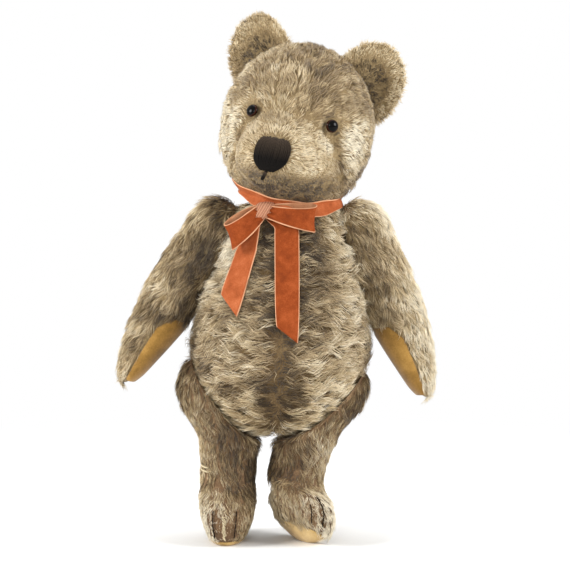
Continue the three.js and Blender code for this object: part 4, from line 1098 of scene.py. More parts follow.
# strands: each is a thin three-sided splinter, pointed at both ends, that leaves the skin at a low angle,
# bends over with its lock, sways from side to side and closes on the lock's middle towards the tip
def strandMesh(name, root, normal, look, lock, bends):
    count = len(root)
    middle, draws = locksAt(root, lock)
    own = draw.random((count, 5))
    flow = unit(look["flow"] - normal * along(look["flow"], normal))
    turn = np.radians(look["stray"] * ((draws[:, 0] - 0.5) * 2 + (own[:, 0] - 0.5)))[:, None]
    heading = flow * np.cos(turn) + np.cross(normal, flow) * np.sin(turn)
    side = np.cross(normal, heading)
    length = (look["length"] * (0.7 + 0.5 * draws[:, 1]) * (0.8 + 0.4 * own[:, 1]))[:, None]
    lift = np.radians(look["lift"] * (0.5 + draws[:, 2]) * (0.7 + 0.6 * own[:, 2]))[:, None]
    toLock = middle - root
    toLock = (toLock - normal * along(toLock, normal)) * look["gather"][:, None]
    phase = 2 * np.pi * draws[:, 3:4]
    sway = look["wave"][:, None] * length
    steps = np.array([0, 0.4, 1]) if bends == 1 else np.array([0, 0.3, 0.68, 1])
    spots = []
    for t in steps:
        swing = sway * (np.sin(2 * np.pi * 0.8 * t + phase) - np.sin(phase))
        fall = (length * t) ** 2 / (2 * look["curve"][:, None])
        rise = length * np.sin(lift) * (2 * t - t * t) - fall - 0.3
        ahead = heading * length * t * np.cos(lift)
        spots.append(root + ahead + normal * rise + side * swing + toLock * t ** 1.3)
    spots = np.stack(spots, 1)
    turnThree = np.radians([90, 210, 330])
    shape = side[:, None] * np.cos(turnThree)[:, None] + normal[:, None] * 0.75 * np.sin(turnThree)[:, None]
    thin = look["width"][:, None] / 2 * (1 - 0.4 * steps[1:-1] ** 2)
    ring = spots[:, 1:-1, None] + thin[..., None, None] * shape[:, None]
    points = np.concatenate([spots[:, :1], ring.reshape(count, -1, 3), spots[:, -1:]], 1)
    points[..., 2] = np.maximum(points[..., 2], 0.4 + 0.2 * own[:, 4:5])
    points = underTails(points)
    faces, tip = [], 3 * bends + 1
    for i, j in ((1, 2), (2, 3), (3, 1)):
        faces.append((0, j, i))
        for k in range(0, 3 * bends - 3, 3):
            faces += [(i + k, j + k, j + k + 3), (i + k, j + k + 3, i + k + 3)]
        faces.append((i + tip - 4, j + tip - 4, tip))
    faces = np.array(faces)
    size = tip + 1
    corners = (faces[None] + size * np.arange(count)[:, None, None]).ravel()
    tone = look["tone"] + look["lockTone"] * (draws[:, 4] - 0.5) + look["strandTone"] * (own[:, 3] - 0.5)
    tone = np.clip(tone, 0.03, 0.97)
    across = np.concatenate([[0], np.tile([-0.006, 0, 0.006], bends), [0]])
    rise = np.concatenate([[0], np.repeat(steps[1:-1], 3) + np.tile([0, 0.012, 0], bends), [1]])
    rise = look["rootLight"][:, None] + (1 - look["rootLight"][:, None]) * rise
    uv = np.stack(np.broadcast_arrays(tone[:, None] + across, 0.01 + 0.97 * rise), -1).reshape(-1, 2)
    sizes = np.full(len(faces) * count, 3)
    return meshFrom(name, metres(points.reshape(-1, 3)), corners, sizes, uv[corners], "OFBake")


def seamX(points):
    lean = math.tan(math.radians(torsoForm["lean"]))
    return torsoForm["foot"] + (points[..., 2] - torsoForm["base"]) * lean


# 1 on the flat of a joint's seat, 0 outside it, so that no pile grows between a limb and the body
def onSeat(joint, points, margin):
    local = toJoint(joint, points)
    near = np.abs(local[..., 1]) < 2.5
    return near & (np.hypot(local[..., 0], local[..., 2]) < joint["board"] / 2 + margin)


# what a strand has where no piece says otherwise: millimetres, degrees and shares
strandForm = {
    "length": 11.0, "lift": 14.0, "stray": 26.0, "gather": 0.32, "wave": 0.08, "curve": 90.0, "width": 0.52,
    "weight": 1.0, "lockTone": 0.36, "strandTone": 0.5, "rootLight": 0.0,
}


def plainLook(points):
    look = {key: np.full(points.shape[:-1], value) for key, value in strandForm.items()}
    look["tone"] = 0.45 + 0.5 * (cloudAt(points, 30) - 0.5) + 0.4 * (cloudAt(points, 12, 1) - 0.5)
    return look


# where the torso is worn or shaded, in millimetres out from its middle seam and up from the ground
torsoWearAndShade = {
    "front": (0, 25), "seam": 2.4, "seamStart": (96, 115), "seamEnd": (190, 215),
    "rubbed": 16, "rubbedRise": (180, 230), "shoulderOut": (22, 40), "shoulderRise": (232, 252),
    "slotAside": 6, "slotWidth": 4, "slotDrop": 18, "slotHeight": 11,
    "neckline": (252, 272), "sweepRise": (225, 275), "bibOut": (12, 32), "bibRise": (200, 235),
    "paleOut": (22, 55), "paleInner": (8, 25), "paleRise": (225, 250),
    "tailOut": 20, "tailWidth": 11, "tailStart": (195, 225), "tailEnd": (255, 272),
    "flankOut": (15, 40), "flankEnd": (190, 220),
}


# torso: wavy locks that lie sideways from the middle seam, thin and dark along the seam; painted paler at the
# sides and on the upper chest as painted light, and painted darker beside the ribbon tails, in the slot under
# the knot and low on one flank as painted shade
def torsoLook(points, station, angle):
    wearAndShade = torsoWearAndShade
    look = plainLook(points)
    s = points[..., 0] - seamX(points)
    z = points[..., 2]
    front = ease(*wearAndShade["front"], -points[..., 1])
    seam = stripe(s, 0, wearAndShade["seam"]) * front * ease(*wearAndShade["seamStart"], z) * (1 - ease(*wearAndShade["seamEnd"], z))
    rubbed = stripe(s, 0, wearAndShade["rubbed"]) * front * (0.5 + 0.5 * ease(*wearAndShade["rubbedRise"], z))
    shoulder = ease(*wearAndShade["shoulderOut"], -s) * ease(*wearAndShade["shoulderRise"], z)
    # painted shadow in the slot between the tails under the knot
    slotX = (points[..., 0] - bowPlace[0] - wearAndShade["slotAside"]) / wearAndShade["slotWidth"]
    slotZ = (z - bowPlace[2] + wearAndShade["slotDrop"]) / wearAndShade["slotHeight"]
    slot = np.exp(-slotX ** 2 - slotZ ** 2) * front
    neckline = ease(*wearAndShade["neckline"], z)
    drift = -0.12 - 0.8 * (cloudAt(points, 26, 2) - 0.5) - 0.5 * ease(*wearAndShade["sweepRise"], z)
    look["flow"] = np.stack([np.tanh((s + 8 * (cloudAt(points, 8, 4) - 0.5)) / 5), 0 * s, drift], -1)
    look["length"] = 15 - 8 * seam - 7 * neckline * (1 - shoulder) + 5 * shoulder - 5 * slot
    look["lift"] = (11 + 9 * cloudAt(points, 20, 3)) * (1 - 0.4 * neckline) + 12 * shoulder
    look["wave"] = look["wave"] * 1.6
    look["gather"] = look["gather"] * 0.85
    out = np.abs(s)
    # painted light: the chest grows paler towards its sides, where light grazes the pile, and on the upper
    # chest
    inner = 0.35 * ease(*wearAndShade["paleRise"], z) * ease(*wearAndShade["paleInner"], out)
    pale = front * (ease(*wearAndShade["paleOut"], out) + inner)
    # painted light on the upper chest where the arm and the tails shade it
    bib = front * ease(*wearAndShade["bibRise"], z) * ease(*wearAndShade["bibOut"], out)
    look["tone"] = (look["tone"] + 0.02 - 0.6 * seam - 0.38 * rubbed
                    + 0.1 * pale + 0.2 * bib + 0.2 * shoulder - 0.6 * slot)
    # painted shade beside the ribbon tails and low on the flank near the limbs
    besideTail = stripe(s, wearAndShade["tailOut"], wearAndShade["tailWidth"])
    besideTail = besideTail * ease(*wearAndShade["tailStart"], z) * (1 - ease(*wearAndShade["tailEnd"], z))
    flank = ease(*wearAndShade["flankOut"], -s) * (1 - ease(*wearAndShade["flankEnd"], z))
    look["tone"] = look["tone"] - front * (0.2 * besideTail + 0.1 * flank)
    look["lockTone"] = look["lockTone"] * (1.25 + rubbed)
    look["rootLight"] = 0.2 * (1 - seam) * (1 - slot)
    look["weight"] = 1 - 0.3 * seam - 0.3 * (1 - front)
    for name, joint in joints.items():
        margin = 8 if name.startswith("hip") else 4
        look["weight"] = np.where(onSeat(joint, points, margin), 0, look["weight"])
    return look


# where the head is worn or shaded, in millimetres from its centre
headWearAndShade = {
    "muzzleEdge": (-2, 9), "muzzleTop": (-2, 20), "crease": 2.6, "creaseStart": (-42, -30),
    "creaseEnd": (4, 9), "creaseFade": (0, -15), "droop": (25, 50), "cheekShift": 3,
    "cheekOut": (18, 38), "cheekTop": (5, 25), "cheekLit": (0, 15), "behind": (0, 40),
    "eyeTrim": (7, 16), "eyeDark": (5, 13), "brow": (((-10, 0, 55), 5), ((-35, 0, 36), 7)),
    "noseDepth": -50, "chinDrop": (-24, -42), "chinAhead": (-10, -40), "chinSide": (-8, -22),
}


# head: short pile swept back from the nose, longer on the crown and cheeks, close-cropped round the eyes,
# painted dark as painted shade in the creases that run from the eyes down both sides of the muzzle, round the
# eyes and under the chin, and painted lighter on the lit side of the cheeks
def headLook(points, station, angle):
    wearAndShade = headWearAndShade
    look = plainLook(points)
    q = toHead(points)
    x, y, z = q[..., 0], q[..., 1], q[..., 2]
    nose = np.array([noseForm["shift"], -headForm["muzzleReach"], noseForm["lift"]])
    ahead = ease(*faceForm["ahead"], y)
    edge = insideLine(x, z)
    muzzle = ease(*wearAndShade["muzzleEdge"], edge) * (1 - ease(*wearAndShade["muzzleTop"], z)) * ahead
    crease = stripe(edge, 0, wearAndShade["crease"]) * ease(*wearAndShade["creaseStart"], z)
    crease = crease * (1 - ease(*wearAndShade["creaseEnd"], z)) * ahead * (1 - 0.45 * ease(*wearAndShade["creaseFade"], x))
    down = np.array([0, 0, -0.5]) * ease(*wearAndShade["droop"], np.abs(x))[..., None]
    look["flow"] = (unit(q - nose) + np.array([0, 0.25, 0]) + down) @ headTurn.T
    look["length"] = 10.5 - 4.5 * muzzle - 0.5 * ahead * (1 - muzzle)
    look["lift"] = 11 - 2 * muzzle
    look["strandTone"] = look["strandTone"] * (0.7 - 0.1 * muzzle)
    look["rootLight"] = 0.38 + 0.1 * muzzle - 0.3 * crease
    look["stray"] = look["stray"] * (1 - 0.3 * muzzle)
    look["gather"] = look["gather"] * (0.9 - 0.4 * muzzle)
    look["lockTone"] = look["lockTone"] * (0.8 - 0.2 * muzzle)
    cheek = ease(*wearAndShade["cheekOut"], np.abs(x - wearAndShade["cheekShift"])) * ahead * (1 - muzzle)
    cheek = cheek * (1 - ease(*wearAndShade["cheekTop"], z))
    # painted shade in the creases beside the muzzle
    look["tone"] = 0.47 + 0.8 * (look["tone"] - 0.45) + 0.18 * muzzle + 0.4 * cheek - 0.6 * crease
    look["tone"] = look["tone"] + 0.16 * cheek * ease(*wearAndShade["cheekLit"], x)
    look["width"] = 0.6 - 0.04 * muzzle
    look["wave"] = look["wave"] * (1 - 0.5 * muzzle)
    look["weight"] = 1 + 0.5 * muzzle - 0.4 * ease(*wearAndShade["behind"], y)
    for side in sideSign:
        gap = np.linalg.norm(q - eyePoint(side), axis=-1)
        look["length"] = look["length"] * (1 - 0.5 * (1 - ease(*wearAndShade["eyeTrim"], gap)))
        # painted shade in the eye sockets
        look["tone"] = look["tone"] - 0.45 * (1 - ease(*wearAndShade["eyeDark"], gap))
        look["weight"] = np.where(gap < eyeForm["diameter"] * 0.6, 0, look["weight"])
    for place, size in wearAndShade["brow"]:  # dark marks
        look["tone"] = look["tone"] - 0.25 * spot(q * [1, 0, 1], place, size) * ahead
    u = (noseForm["lift"] - z) / noseForm["height"] + 0.5
    half = between(noseForm["rows"], np.clip(u, 0, 1))[0] * noseForm["width"] / 2
    aside = np.abs(x - noseForm["shift"] - noseForm["slant"] * u * u)
    onNose = (u > 0) & (u < 1) & (aside < half - 1) & (y < wearAndShade["noseDepth"])
    look["weight"] = np.where(onNose | onSeat(joints["neck"], points, 4), 0, look["weight"])
    chin = ease(*wearAndShade["chinDrop"], z) * ease(*wearAndShade["chinAhead"], y) * (1 - 0.7 * ease(*wearAndShade["chinSide"], x))
    look["length"] = look["length"] * (1 - 0.35 * chin)
    # painted shade under the chin, which faces down
    look["tone"] = look["tone"] - 0.72 * chin
    look["lockTone"] = look["lockTone"] * (1 - 0.6 * chin)
    return look


# how far down the arm, or out from its seat, each change goes, and how strong it is on each arm
armWearAndShade = {
    "paw": (95, 140), "tip": (145, 165), "top": (-18, 18), "out": (4, 46), "seatLit": (3, 13), "felt": 88,
    "left": {"inside": 0.17, "top": 0.16, "paw": 0.2, "trim": 2, "seatLit": 0},
    "right": {"inside": 0.62, "top": 0.08, "paw": 0.36, "trim": 0, "seatLit": 0.35},
}


# arms: locks run down the arm; the pile is painted pale outside and dark inside, towards the body, as painted
# light and shade, with painted light at the top and, on one arm, beside its seat; felt covers the inside of
# the paw
def armLook(side):
    joint = joints["shoulder_" + side]
    wearAndShade = armWearAndShade
    shade = armWearAndShade[side]

    def give(points, station, angle):
        look = plainLook(points)
        sway = (cloudAt(points, 30, 2) - 0.35)[..., None]
        look["flow"] = -joint["rows"][2] + 0.3 * joint["axis"] + np.array([0, -0.5, 0]) * sway
        paw = ease(*wearAndShade["paw"], station)
        fromSeat = toJoint(joint, points)[..., 1]
        out = ease(*wearAndShade["out"], fromSeat)
        top = 1 - ease(*wearAndShade["top"], station)
        look["length"] = 12 - 3 * paw - 3 * ease(*wearAndShade["tip"], station) - shade["trim"] * top
        look["lift"] = look["lift"] * 0.85
        # painted light and shade: darker towards the body, paler outwards and at the top
        look["tone"] = look["tone"] - (shade["inside"] - shade["top"] * top) + 0.62 * out + shade["paw"] * paw
        # painted light against the shade beside the seat
        look["tone"] = look["tone"] + shade["seatLit"] * (1 - ease(*wearAndShade["seatLit"], fromSeat))
        look["rootLight"] = 0.1 + 0.3 * out
        look["gather"] = look["gather"] * 0.7
        inner = np.abs((angle + np.pi) % (2 * np.pi) - np.pi)
        felt = (inner < math.radians(wearAndShade["felt"])) & (station > armForm["padEnd"] - armForm["padLength"])
        look["weight"] = np.where(felt | onSeat(joint, points, 4), 0, look["weight"])
        return look

    return give


# how high up the leg, or how far out, each change goes, and how strong it is on each leg
legWearAndShade = {
    "toe": (12, 45), "out": (-10, 17), "thigh": (75, 125), "upper": (85, 120), "shinStart": (45, 60),
    "shinEnd": (85, 110), "ankle": 48, "ankleBand": 9, "toeCap": (20, 38), "rimBand": 7,
    "seamTurn": 90, "baldTurn": (13, 20), "baldRise": (13, 20), "clawTurn": (4, 11), "clawEnd": 6,
    "left": {"upper": 0.2, "shin": 0, "cap": 3, "rim": 2},
    "right": {"upper": 0, "shin": 0.12, "cap": -1, "rim": 0},
}


# legs: down the leg, then short towards the toes; one foot is worn to the backing beside its toe seam. The
# pile is painted darker up the thigh towards the body and paler on the outer side, painted shade and light
def legLook(side):
    joint = joints["hip_" + side]
    foot = legForm[side]
    sole = foot["sole"]
    wearAndShade = legWearAndShade
    shade = legWearAndShade[side]
    turn = math.radians(foot["toeOut"])
    ahead = np.array([math.sin(turn), -math.cos(turn), 0])

    def give(points, station, angle):
        look = plainLook(points)
        toe = 1 - ease(sole + wearAndShade["toe"][0], sole + wearAndShade["toe"][1], station)
        fromFoot = points - np.array([foot["footX"], foot["footY"], 0])
        sway = (cloudAt(points, 26, 2) - 0.5)[..., None]
        look["flow"] = np.array([0, 0, -1.0]) + 0.4 * toe[..., None] * ahead + np.array([0.9, 0, 0]) * sway
        out = ease(*wearAndShade["out"], sideSign[side] * fromFoot[..., 0])
        look["length"] = 9.5 - 3.5 * toe
        look["lift"] = 10 + 2 * toe
        # painted shade up the thigh towards the body, painted light on the outer side
        look["tone"] = look["tone"] - 0.29 - 0.42 * ease(*wearAndShade["thigh"], station) + 0.52 * out + 0.5 * toe
        shin = shade["shin"] * ease(*wearAndShade["shinStart"], station) * (1 - ease(*wearAndShade["shinEnd"], station))
        look["tone"] = look["tone"] - shade["upper"] * ease(*wearAndShade["upper"], station) - shin
        look["rootLight"] = 0.2 * out
        look["gather"] = look["gather"] * 0.7
        look["length"] = look["length"] + 3 * stripe(station, wearAndShade["ankle"], wearAndShade["ankleBand"])
        cap = toe * ease(*wearAndShade["toeCap"], fromFoot @ ahead)
        rim = stripe(station, sole, wearAndShade["rimBand"])
        look["length"] = look["length"] + shade["cap"] * cap + shade["rim"] * rim
        look["lockTone"] = look["lockTone"] * (1 - 0.4 * toe)
        under = sole - legForm["soleDepth"] * (1 - padForm["soleShare"][side])
        look["weight"] = np.where(station < under, 0, 1.0)
        if side == "right":
            beside = np.abs(np.degrees(angle) - wearAndShade["seamTurn"])
            low = 1 - ease(sole + wearAndShade["baldRise"][0], sole + wearAndShade["baldRise"][1], station)
            bald = (1 - ease(*wearAndShade["baldTurn"], beside)) * low
            look["weight"] = look["weight"] * (1 - 0.96 * bald)
            look["length"] = look["length"] * (1 - 0.5 * bald)
        for degrees, length in (clawForm[side]["outer"], clawForm[side]["inner"]):  # parted along the claws
            beside = np.abs(np.degrees(angle) - degrees)
            tip = sole + length
            parted = (1 - ease(*wearAndShade["clawTurn"], beside)) * (1 - ease(tip, tip + wearAndShade["clawEnd"], station))
            look["length"] = look["length"] * (1 - 0.5 * parted)
            look["lift"] = look["lift"] * (1 - 0.7 * parted)
        look["weight"] = np.where(onSeat(joint, points, 8), 0, look["weight"])
        return look

    return give


earShade = {"left": {"rim": 0.64, "hollow": 1.0}, "right": {"rim": 0.42, "hollow": 0.55}}


# ears: close pile that fans out to the rim; the hollow in front is painted dark near the head, painted shade
def earLook(side):
    turn, seat = earPlace(side)
    shade = earShade[side]

    def give(points, station, angle):
        look = plainLook(points)
        q = (toHead(points) - seat) @ turn
        look["flow"] = (np.stack([q[..., 0], 0 * q[..., 0], q[..., 2] + 4], -1) @ turn.T) @ headTurn.T
        front = np.sin(angle) > 0.1
        r = np.hypot(q[..., 0] / (earForm["width"] / 2), q[..., 2] / earForm["height"])
        look["length"] = np.where(front, 3.4 + 1.6 * ease(0.5, 1, r), 5.4)
        # painted shade in the hollow of the ear
        hollow = shade["hollow"] * (1 - ease(0.35, 0.8, r))
        look["tone"] = shade["rim"] + 0.7 * (look["tone"] - 0.45) - np.where(front, hollow, 0)
        look["strandTone"] = look["strandTone"] * 0.6
        look["rootLight"] = 0.4 * np.where(front, ease(0.3, 0.7, r), 1)
        look["lift"] = np.where(front, 10, 12)
        look["lockTone"] = look["lockTone"] * np.where(front & (r < 0.8), 0.25, 0.7)
        inHead = np.linalg.norm(toHead(points), axis=-1) < headRadius(unit(toHead(points))) - 0.5
        look["weight"] = np.where(inHead, 0, 1.0)
        return look

    return give


looks = {"torso": torsoLook, "head": headLook}
for side in sideSign:
    looks["arm_" + side] = armLook(side)
    looks["leg_" + side] = legLook(side)
    looks["ear_" + side] = earLook(side)


def growPile(name, grid, station, angle):
    kind = name.split("_")[0]
    weight = looks[name](grid, station, angle)["weight"]
    turned = np.stack([np.cos(angle), np.sin(angle)], -1)
    root, normal, where, turned = scatter(
        grid, [grid, gridNormals(grid), station, turned], weight, pileForm["strands"][kind])
    look = looks[name](root, where, np.arctan2(turned[:, 1], turned[:, 0]))
    kept = look["weight"] > 0
    look = {key: value[kept] for key, value in look.items()}
    root, normal = root[kept], unit(normal[kept])
    parts = {"_pile": np.ones(len(root), bool)}
    if kind == "torso":  # front and back are two pieces
        parts = {"_pile_front": root[:, 1] < 0, "_pile_back": root[:, 1] >= 0}
    for suffix, part in parts.items():
        bends = 2 if suffix == "_pile_front" else 1
        chosen = {key: value[part] for key, value in look.items()}
        pile = strandMesh(name + suffix, root[part], normal[part], chosen, pileForm["lock"][kind], bends)
        finishPiece(pile, bodyOf[name], "mohair", "pile")
        print(pile.name, "triangles", len(pile.data.polygons))


for name, (grid, station, angle) in grids.items():
    growPile(name, grid, station, angle)

# eyes
for side in sideSign:
    across = sideSign[side] * eyeForm["spread"] + eyeForm["shift"]
    normal = faceNormal(across, eyeForm["lift"])
    seat = facePoint(across, eyeForm["lift"]) + 0.3 * normal
    tangent = unit(np.cross(normal, np.array([0, 0, 1.0])))
    other = np.cross(normal, tangent)
    turn = roundAngles(eyeForm["columns"])
    polar = np.linspace(0, np.pi / 2, eyeForm["rows"])
    r = np.concatenate([np.sin(polar), [0.86, 0]]) * eyeForm["diameter"] / 2
    h = np.concatenate([1 + (eyeForm["dome"] - 1) * np.cos(polar), [0, 0]])
    around = np.cos(turn)[:, None] * tangent + np.sin(turn)[:, None] * other
    grid = seat + r[:, None, None] * around + h[:, None, None] * normal
    eye = skinMesh("glass_eye_" + side, fromHead(grid))
    layer = eye.data.uv_layers.new(name="weave")
    points = np.zeros(len(eye.data.vertices) * 3)
    eye.data.vertices.foreach_get("co", points)
    radial = toHead(points.reshape(-1, 3) * 1000 - shift) - seat
    radial = np.linalg.norm(radial - along(radial, normal) * normal, axis=1) / (eyeForm["diameter"] / 2)
    loops = np.zeros(len(eye.data.loops), np.int32)
    eye.data.loops.foreach_get("vertex_index", loops)
    around = loops % eyeForm["columns"] / eyeForm["columns"]
    layer.data.foreach_set("uv", np.stack([radial[loops], around], 1).astype(np.float32).ravel())
    finishPiece(eye, "head", "glass", "glass", "eye_" + side)
print("eyes made")


# nose and mouth
def nosePlace(u, v):
    share = between(noseForm["rows"], np.clip(u, 0, 1))[0]
    across = noseForm["shift"] + noseForm["slant"] * u * u + (v - 0.5) * noseForm["width"] * share
    height = noseForm["lift"] - (u - 0.5) * noseForm["height"]
    return facePoint(across, height), faceNormal(across, height)


stitchForm = {"threads": 21, "steps": 16, "radius": 0.85, "bulge": 1.7}
strand = np.arange(stitchForm["threads"])[:, None] / (stitchForm["threads"] - 1)
step = np.linspace(0, 1, stitchForm["steps"])[None]
jitter = draw.random((stitchForm["threads"], 3))
u = np.clip(0.01 + 0.05 * jitter[:, :1] + step * (0.98 - 0.06 * jitter[:, 1:2]), 0, 1)
v = np.clip(0.03 + 0.94 * strand + 0.012 * (jitter[:, 2:] - 0.5), 0, 1) + 0 * u
place, out = nosePlace(u, v)
crown = stitchForm["bulge"] * np.sqrt(np.maximum(1 - (2 * u - 1) ** 6, 0)) * (1 - 0.5 * (2 * v - 1) ** 4)
paths = fromHead(place + out * (0.5 + crown)[..., None])
nose = threadMesh("nose_threads", paths, out @ headTurn.T, stitchForm["radius"])
finishPiece(nose, "head", "thread", "blackThread", "nose_stitching")
mouthForm = {"length": 6.5, "radius": 0.85, "slant": -3.5}
share = np.linspace(0, 1, 8)
height = noseForm["lift"] - noseForm["height"] / 2 - 0.5 - mouthForm["length"] * share
paths, outs = [], []
for offset in (-0.5, 0.5):
    across = noseForm["shift"] + noseForm["slant"] + offset + mouthForm["slant"] * share
    paths.append(fromHead(facePoint(across, height) + faceNormal(across, height) * 1.4))
    outs.append(faceNormal(across, height) @ headTurn.T)
mouth = threadMesh("mouth_thread", np.stack(paths), np.stack(outs), mouthForm["radius"])
finishPiece(mouth, "head", "thread", "blackThread", "mouth_stitch")
print("nose and mouth made")


# felt pads: a felt sheet on a surface given by two parameters, thinned at its cut edge
def feltOn(place, rows, columns, lift, thickness):
    u, v = np.meshgrid(np.linspace(0, 1, rows), np.linspace(0, 1, columns), indexing="ij")
    step = 1e-3
    normal = unit(np.cross(place(u + step, v) - place(u - step, v), place(u, v + step) - place(u, v - step)))
    base = place(u, v)
    if np.sum(normal * (base - base.mean((0, 1)))) < 0:
        normal = -normal
    edge = np.minimum(np.minimum(u, 1 - u), np.minimum(v, 1 - v))
    full = 0.35 + 0.65 * ease(0, 0.07, edge)
    return base + normal * (lift + thickness * full)[..., None], base + normal * lift


for side, sign in sideSign.items():
    joint = joints["shoulder_" + side]

    def pawPlace(u, v):
        distance = armForm["padEnd"] - armForm["padLength"] * (1 - np.sin(np.pi * u / 2))
        spread = math.radians(padForm["spread"]) * np.minimum(1, 0.75 + 2 * u) * sign
        return fromJoint(joint, armPoint(side, distance, (v - 0.5) * 2 * spread))

    top, under = feltOn(pawPlace, 34, 30, padForm["lift"], padForm["thickness"])
    pad = sheetMesh("paw_felt_" + side, top, under)
    finishPiece(pad, "arm_" + side, "paw_felt", "pawFelt", "paw_pad_" + side)

for side in sideSign:
    shares = np.linspace(0.02, padForm["soleShare"][side] + 0.02, 18)
    share, angle = np.meshgrid(shares, roundAngles(48), indexing="ij")
    under = solePoint(side, share, angle)
    middle = solePoint(side, 0 * share[:1], angle[:1])
    rise = np.array([0, 0, padForm["soleThickness"]])
    rows = np.concatenate([middle, under, under[::-1] + rise, middle + rise])
    sole = skinMesh("sole_felt_" + side, rows)
    finishPiece(sole, "leg_" + side, "sole_felt", "soleFelt", "foot_pad_" + side)
print("felt pads made")


# claws and other stitches on the legs: a point that stands off the skin at a height and turn, and the way out
def offLeg(side, height, angle, stand):
    upwards = legPoint(side, height + 1, angle) - legPoint(side, height - 1, angle)
    around = legPoint(side, height, angle + 0.05) - legPoint(side, height, angle - 0.05)
    out = unit(np.cross(upwards, around))
    return legPoint(side, height, angle) + out * np.broadcast_to(stand, np.shape(height))[..., None], out


for side in sideSign:
    base = legForm[side]["sole"] + clawForm["lift"]
    for name, (degrees, length) in clawForm[side].items():
        step = np.linspace(0.06, 0.94, 8)
        reach = (np.arange(clawForm["stitches"])[:, None] + step) / clawForm["stitches"]
        paths, outs = offLeg(side, base + length * reach, np.radians(degrees) + 0 * reach,
                             clawForm["stand"] * np.sin(np.pi * step) ** 0.2 + 0 * reach)
        claw = threadMesh(f"claw_thread_{side}_{name}", paths, outs, clawForm["radius"])
        finishPiece(claw, "leg_" + side, "thread", "wornThread", f"foot_claw_{side}_{name}")

# overcast stitches along the open toe seam, and two on a mended place above the ankle
seamForm = {
    "stitches": 13, "rise": (-1, 17), "reach": 4.0, "radius": 0.36,
    "mend": ((57, 146), (60.5, 147)), "mendReach": 13, "mendRadius": 0.8,
}
step = np.linspace(-1, 1, 8)
start = legForm["right"]["sole"] + np.linspace(*seamForm["rise"], seamForm["stitches"])[:, None]
height = start + (0.4 + 1.6 * draw.random((seamForm["stitches"], 1))) * step
reach = seamForm["reach"] * (0.5 + draw.random((seamForm["stitches"], 1)))
turn = np.radians(legWearAndShade["seamTurn"] + reach * step)
paths, outs = offLeg("right", height, turn, 0.9 * (1 - step * step) + 0.2)
toeSeam = threadMesh("toe_seam_stitches", paths, outs, seamForm["radius"])
finishPiece(toeSeam, "leg_right", "thread", "creamThread")
place = np.array(seamForm["mend"], float)
height = place[:, :1] + 0.8 * step
turn = np.radians(place[:, 1:] + seamForm["mendReach"] * step)
paths, outs = offLeg("right", height, turn, 1.9 * (1 - step ** 4) + 0.4)
mend = threadMesh("leg_mend_stitches", paths, outs, seamForm["mendRadius"])
finishPiece(mend, "leg_right", "thread", "creamThread")
print("leg stitches made")

# studio
studio = {
    "camera": (0, -1700, 330), "target": (0, 0, 205), "focal": 2075.5, "centre": (280, 289.9),
    "size": (570, 569), "sensor": 36,
}
wide, high = studio["size"]
camera = bpy.data.objects.new("camera", bpy.data.cameras.new("camera"))
bpy.context.collection.objects.link(camera)
eyeAt, aimAt = metres(np.array(studio["camera"], float)), metres(np.array(studio["target"], float))
camera.location = eyeAt
camera.rotation_euler = Vector(aimAt - eyeAt).to_track_quat("-Z", "Y").to_euler()
camera.data.sensor_width = studio["sensor"]
camera.data.lens = studio["focal"] * studio["sensor"] / wide
camera.data.shift_x = (wide / 2 - studio["centre"][0]) / wide
camera.data.shift_y = (studio["centre"][1] - high / 2) / wide
bpy.context.scene.camera = camera


def softLamp(name, place, aim, size, power):
    lamp = bpy.data.lights.new(name, "AREA")
    lamp.shape, lamp.size, lamp.energy = "DISK", size, power
    holder = bpy.data.objects.new(name, lamp)
    holder.location = place
    holder.rotation_euler = (Vector(aim) - Vector(place)).to_track_quat("-Z", "Y").to_euler()
    bpy.context.collection.objects.link(holder)


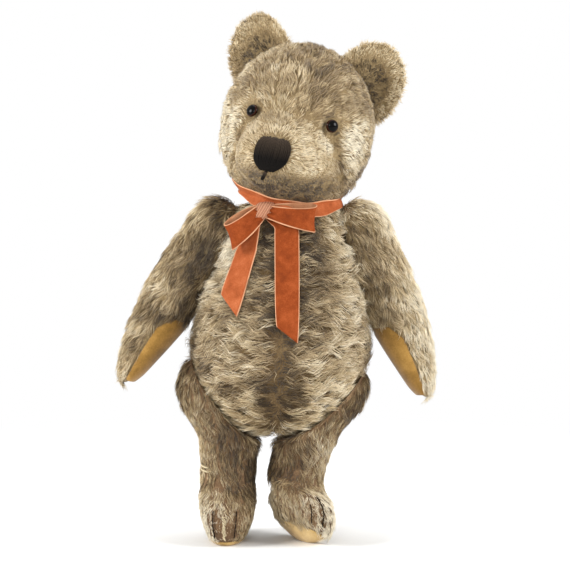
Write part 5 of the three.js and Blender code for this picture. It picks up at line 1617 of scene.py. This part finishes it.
softLamp("left box", (-1.8, -0.75, 0.95), (0, 0, 0.22), 1.0, 42)
softLamp("right box", (1.8, -0.75, 0.95), (0, 0, 0.22), 1.0, 38)
softLamp("front", (-0.3, -2.3, 1.0), (0, 0, 0.22), 1.0, 8)
softLamp("top", (0.1, 0.4, 1.9), (0, 0, 0.2), 1.4, 15)
softLamp("sparkle", (-0.25, -1.6, 0.62), (0, 0, 0.33), 0.09, 1.6)

floorForm = {"half": 6.0, "near": 0.22, "far": 0.75, "light": 0.48}
corner = floorForm["half"] * np.array([(-1, -1, 0), (1, -1, 0), (1, 1, 0), (-1, 1, 0)], float)
floor = meshFrom("studio_floor", corner, [0, 1, 2, 3], [4])
# white paper: shaded close to the feet so that it keeps their shadow, and plain white further out
paper, tree, body = newMaterial("white studio paper", Roughness=0.95)
body.inputs["Base Color"].default_value = linear("#f6f6f5")
body.inputs["Specular IOR Level"].default_value = 0.0
place = objectPlace(tree)
gap = addNode(tree, "ShaderNodeVectorMath", {0: place}, operation="LENGTH")
inputs = {0: gap.outputs["Value"], 1: floorForm["near"], 2: floorForm["far"]}
away = addNode(tree, "ShaderNodeMapRange", inputs, interpolation_type="SMOOTHSTEP")
seen = addNode(tree, "ShaderNodeLightPath").outputs["Is Camera Ray"]
share = addNode(tree, "ShaderNodeMath", {0: away.outputs[0], 1: seen}, operation="MULTIPLY")
white = addNode(tree, "ShaderNodeEmission", {"Color": (1, 1, 1, 1), "Strength": 1.0})
mixed = addNode(tree, "ShaderNodeMixShader", {0: share.outputs[0], 1: body.outputs[0], 2: white.outputs[0]})
tree.links.new(mixed.outputs[0], tree.nodes["Material Output"].inputs["Surface"])
floor.data.materials.append(paper)

world = bpy.data.worlds.new("studio")
bpy.context.scene.world = world
world.use_nodes = True
tree = world.node_tree
ways = addNode(tree, "ShaderNodeLightPath")
white = ways.outputs["Is Camera Ray"]
for way in ("Is Transmission Ray", "Is Glossy Ray"):
    white = addNode(tree, "ShaderNodeMath", {0: white, 1: ways.outputs[way]}, operation="MAXIMUM").outputs[0]
strength = addNode(tree, "ShaderNodeMapRange", {0: white, 3: floorForm["light"], 4: 1.0})
tree.nodes["Background"].inputs[0].default_value = (1, 1, 1, 1)
tree.links.new(strength.outputs[0], tree.nodes["Background"].inputs[1])
bpy.context.scene.view_settings.view_transform = "Standard"
print("studio set")
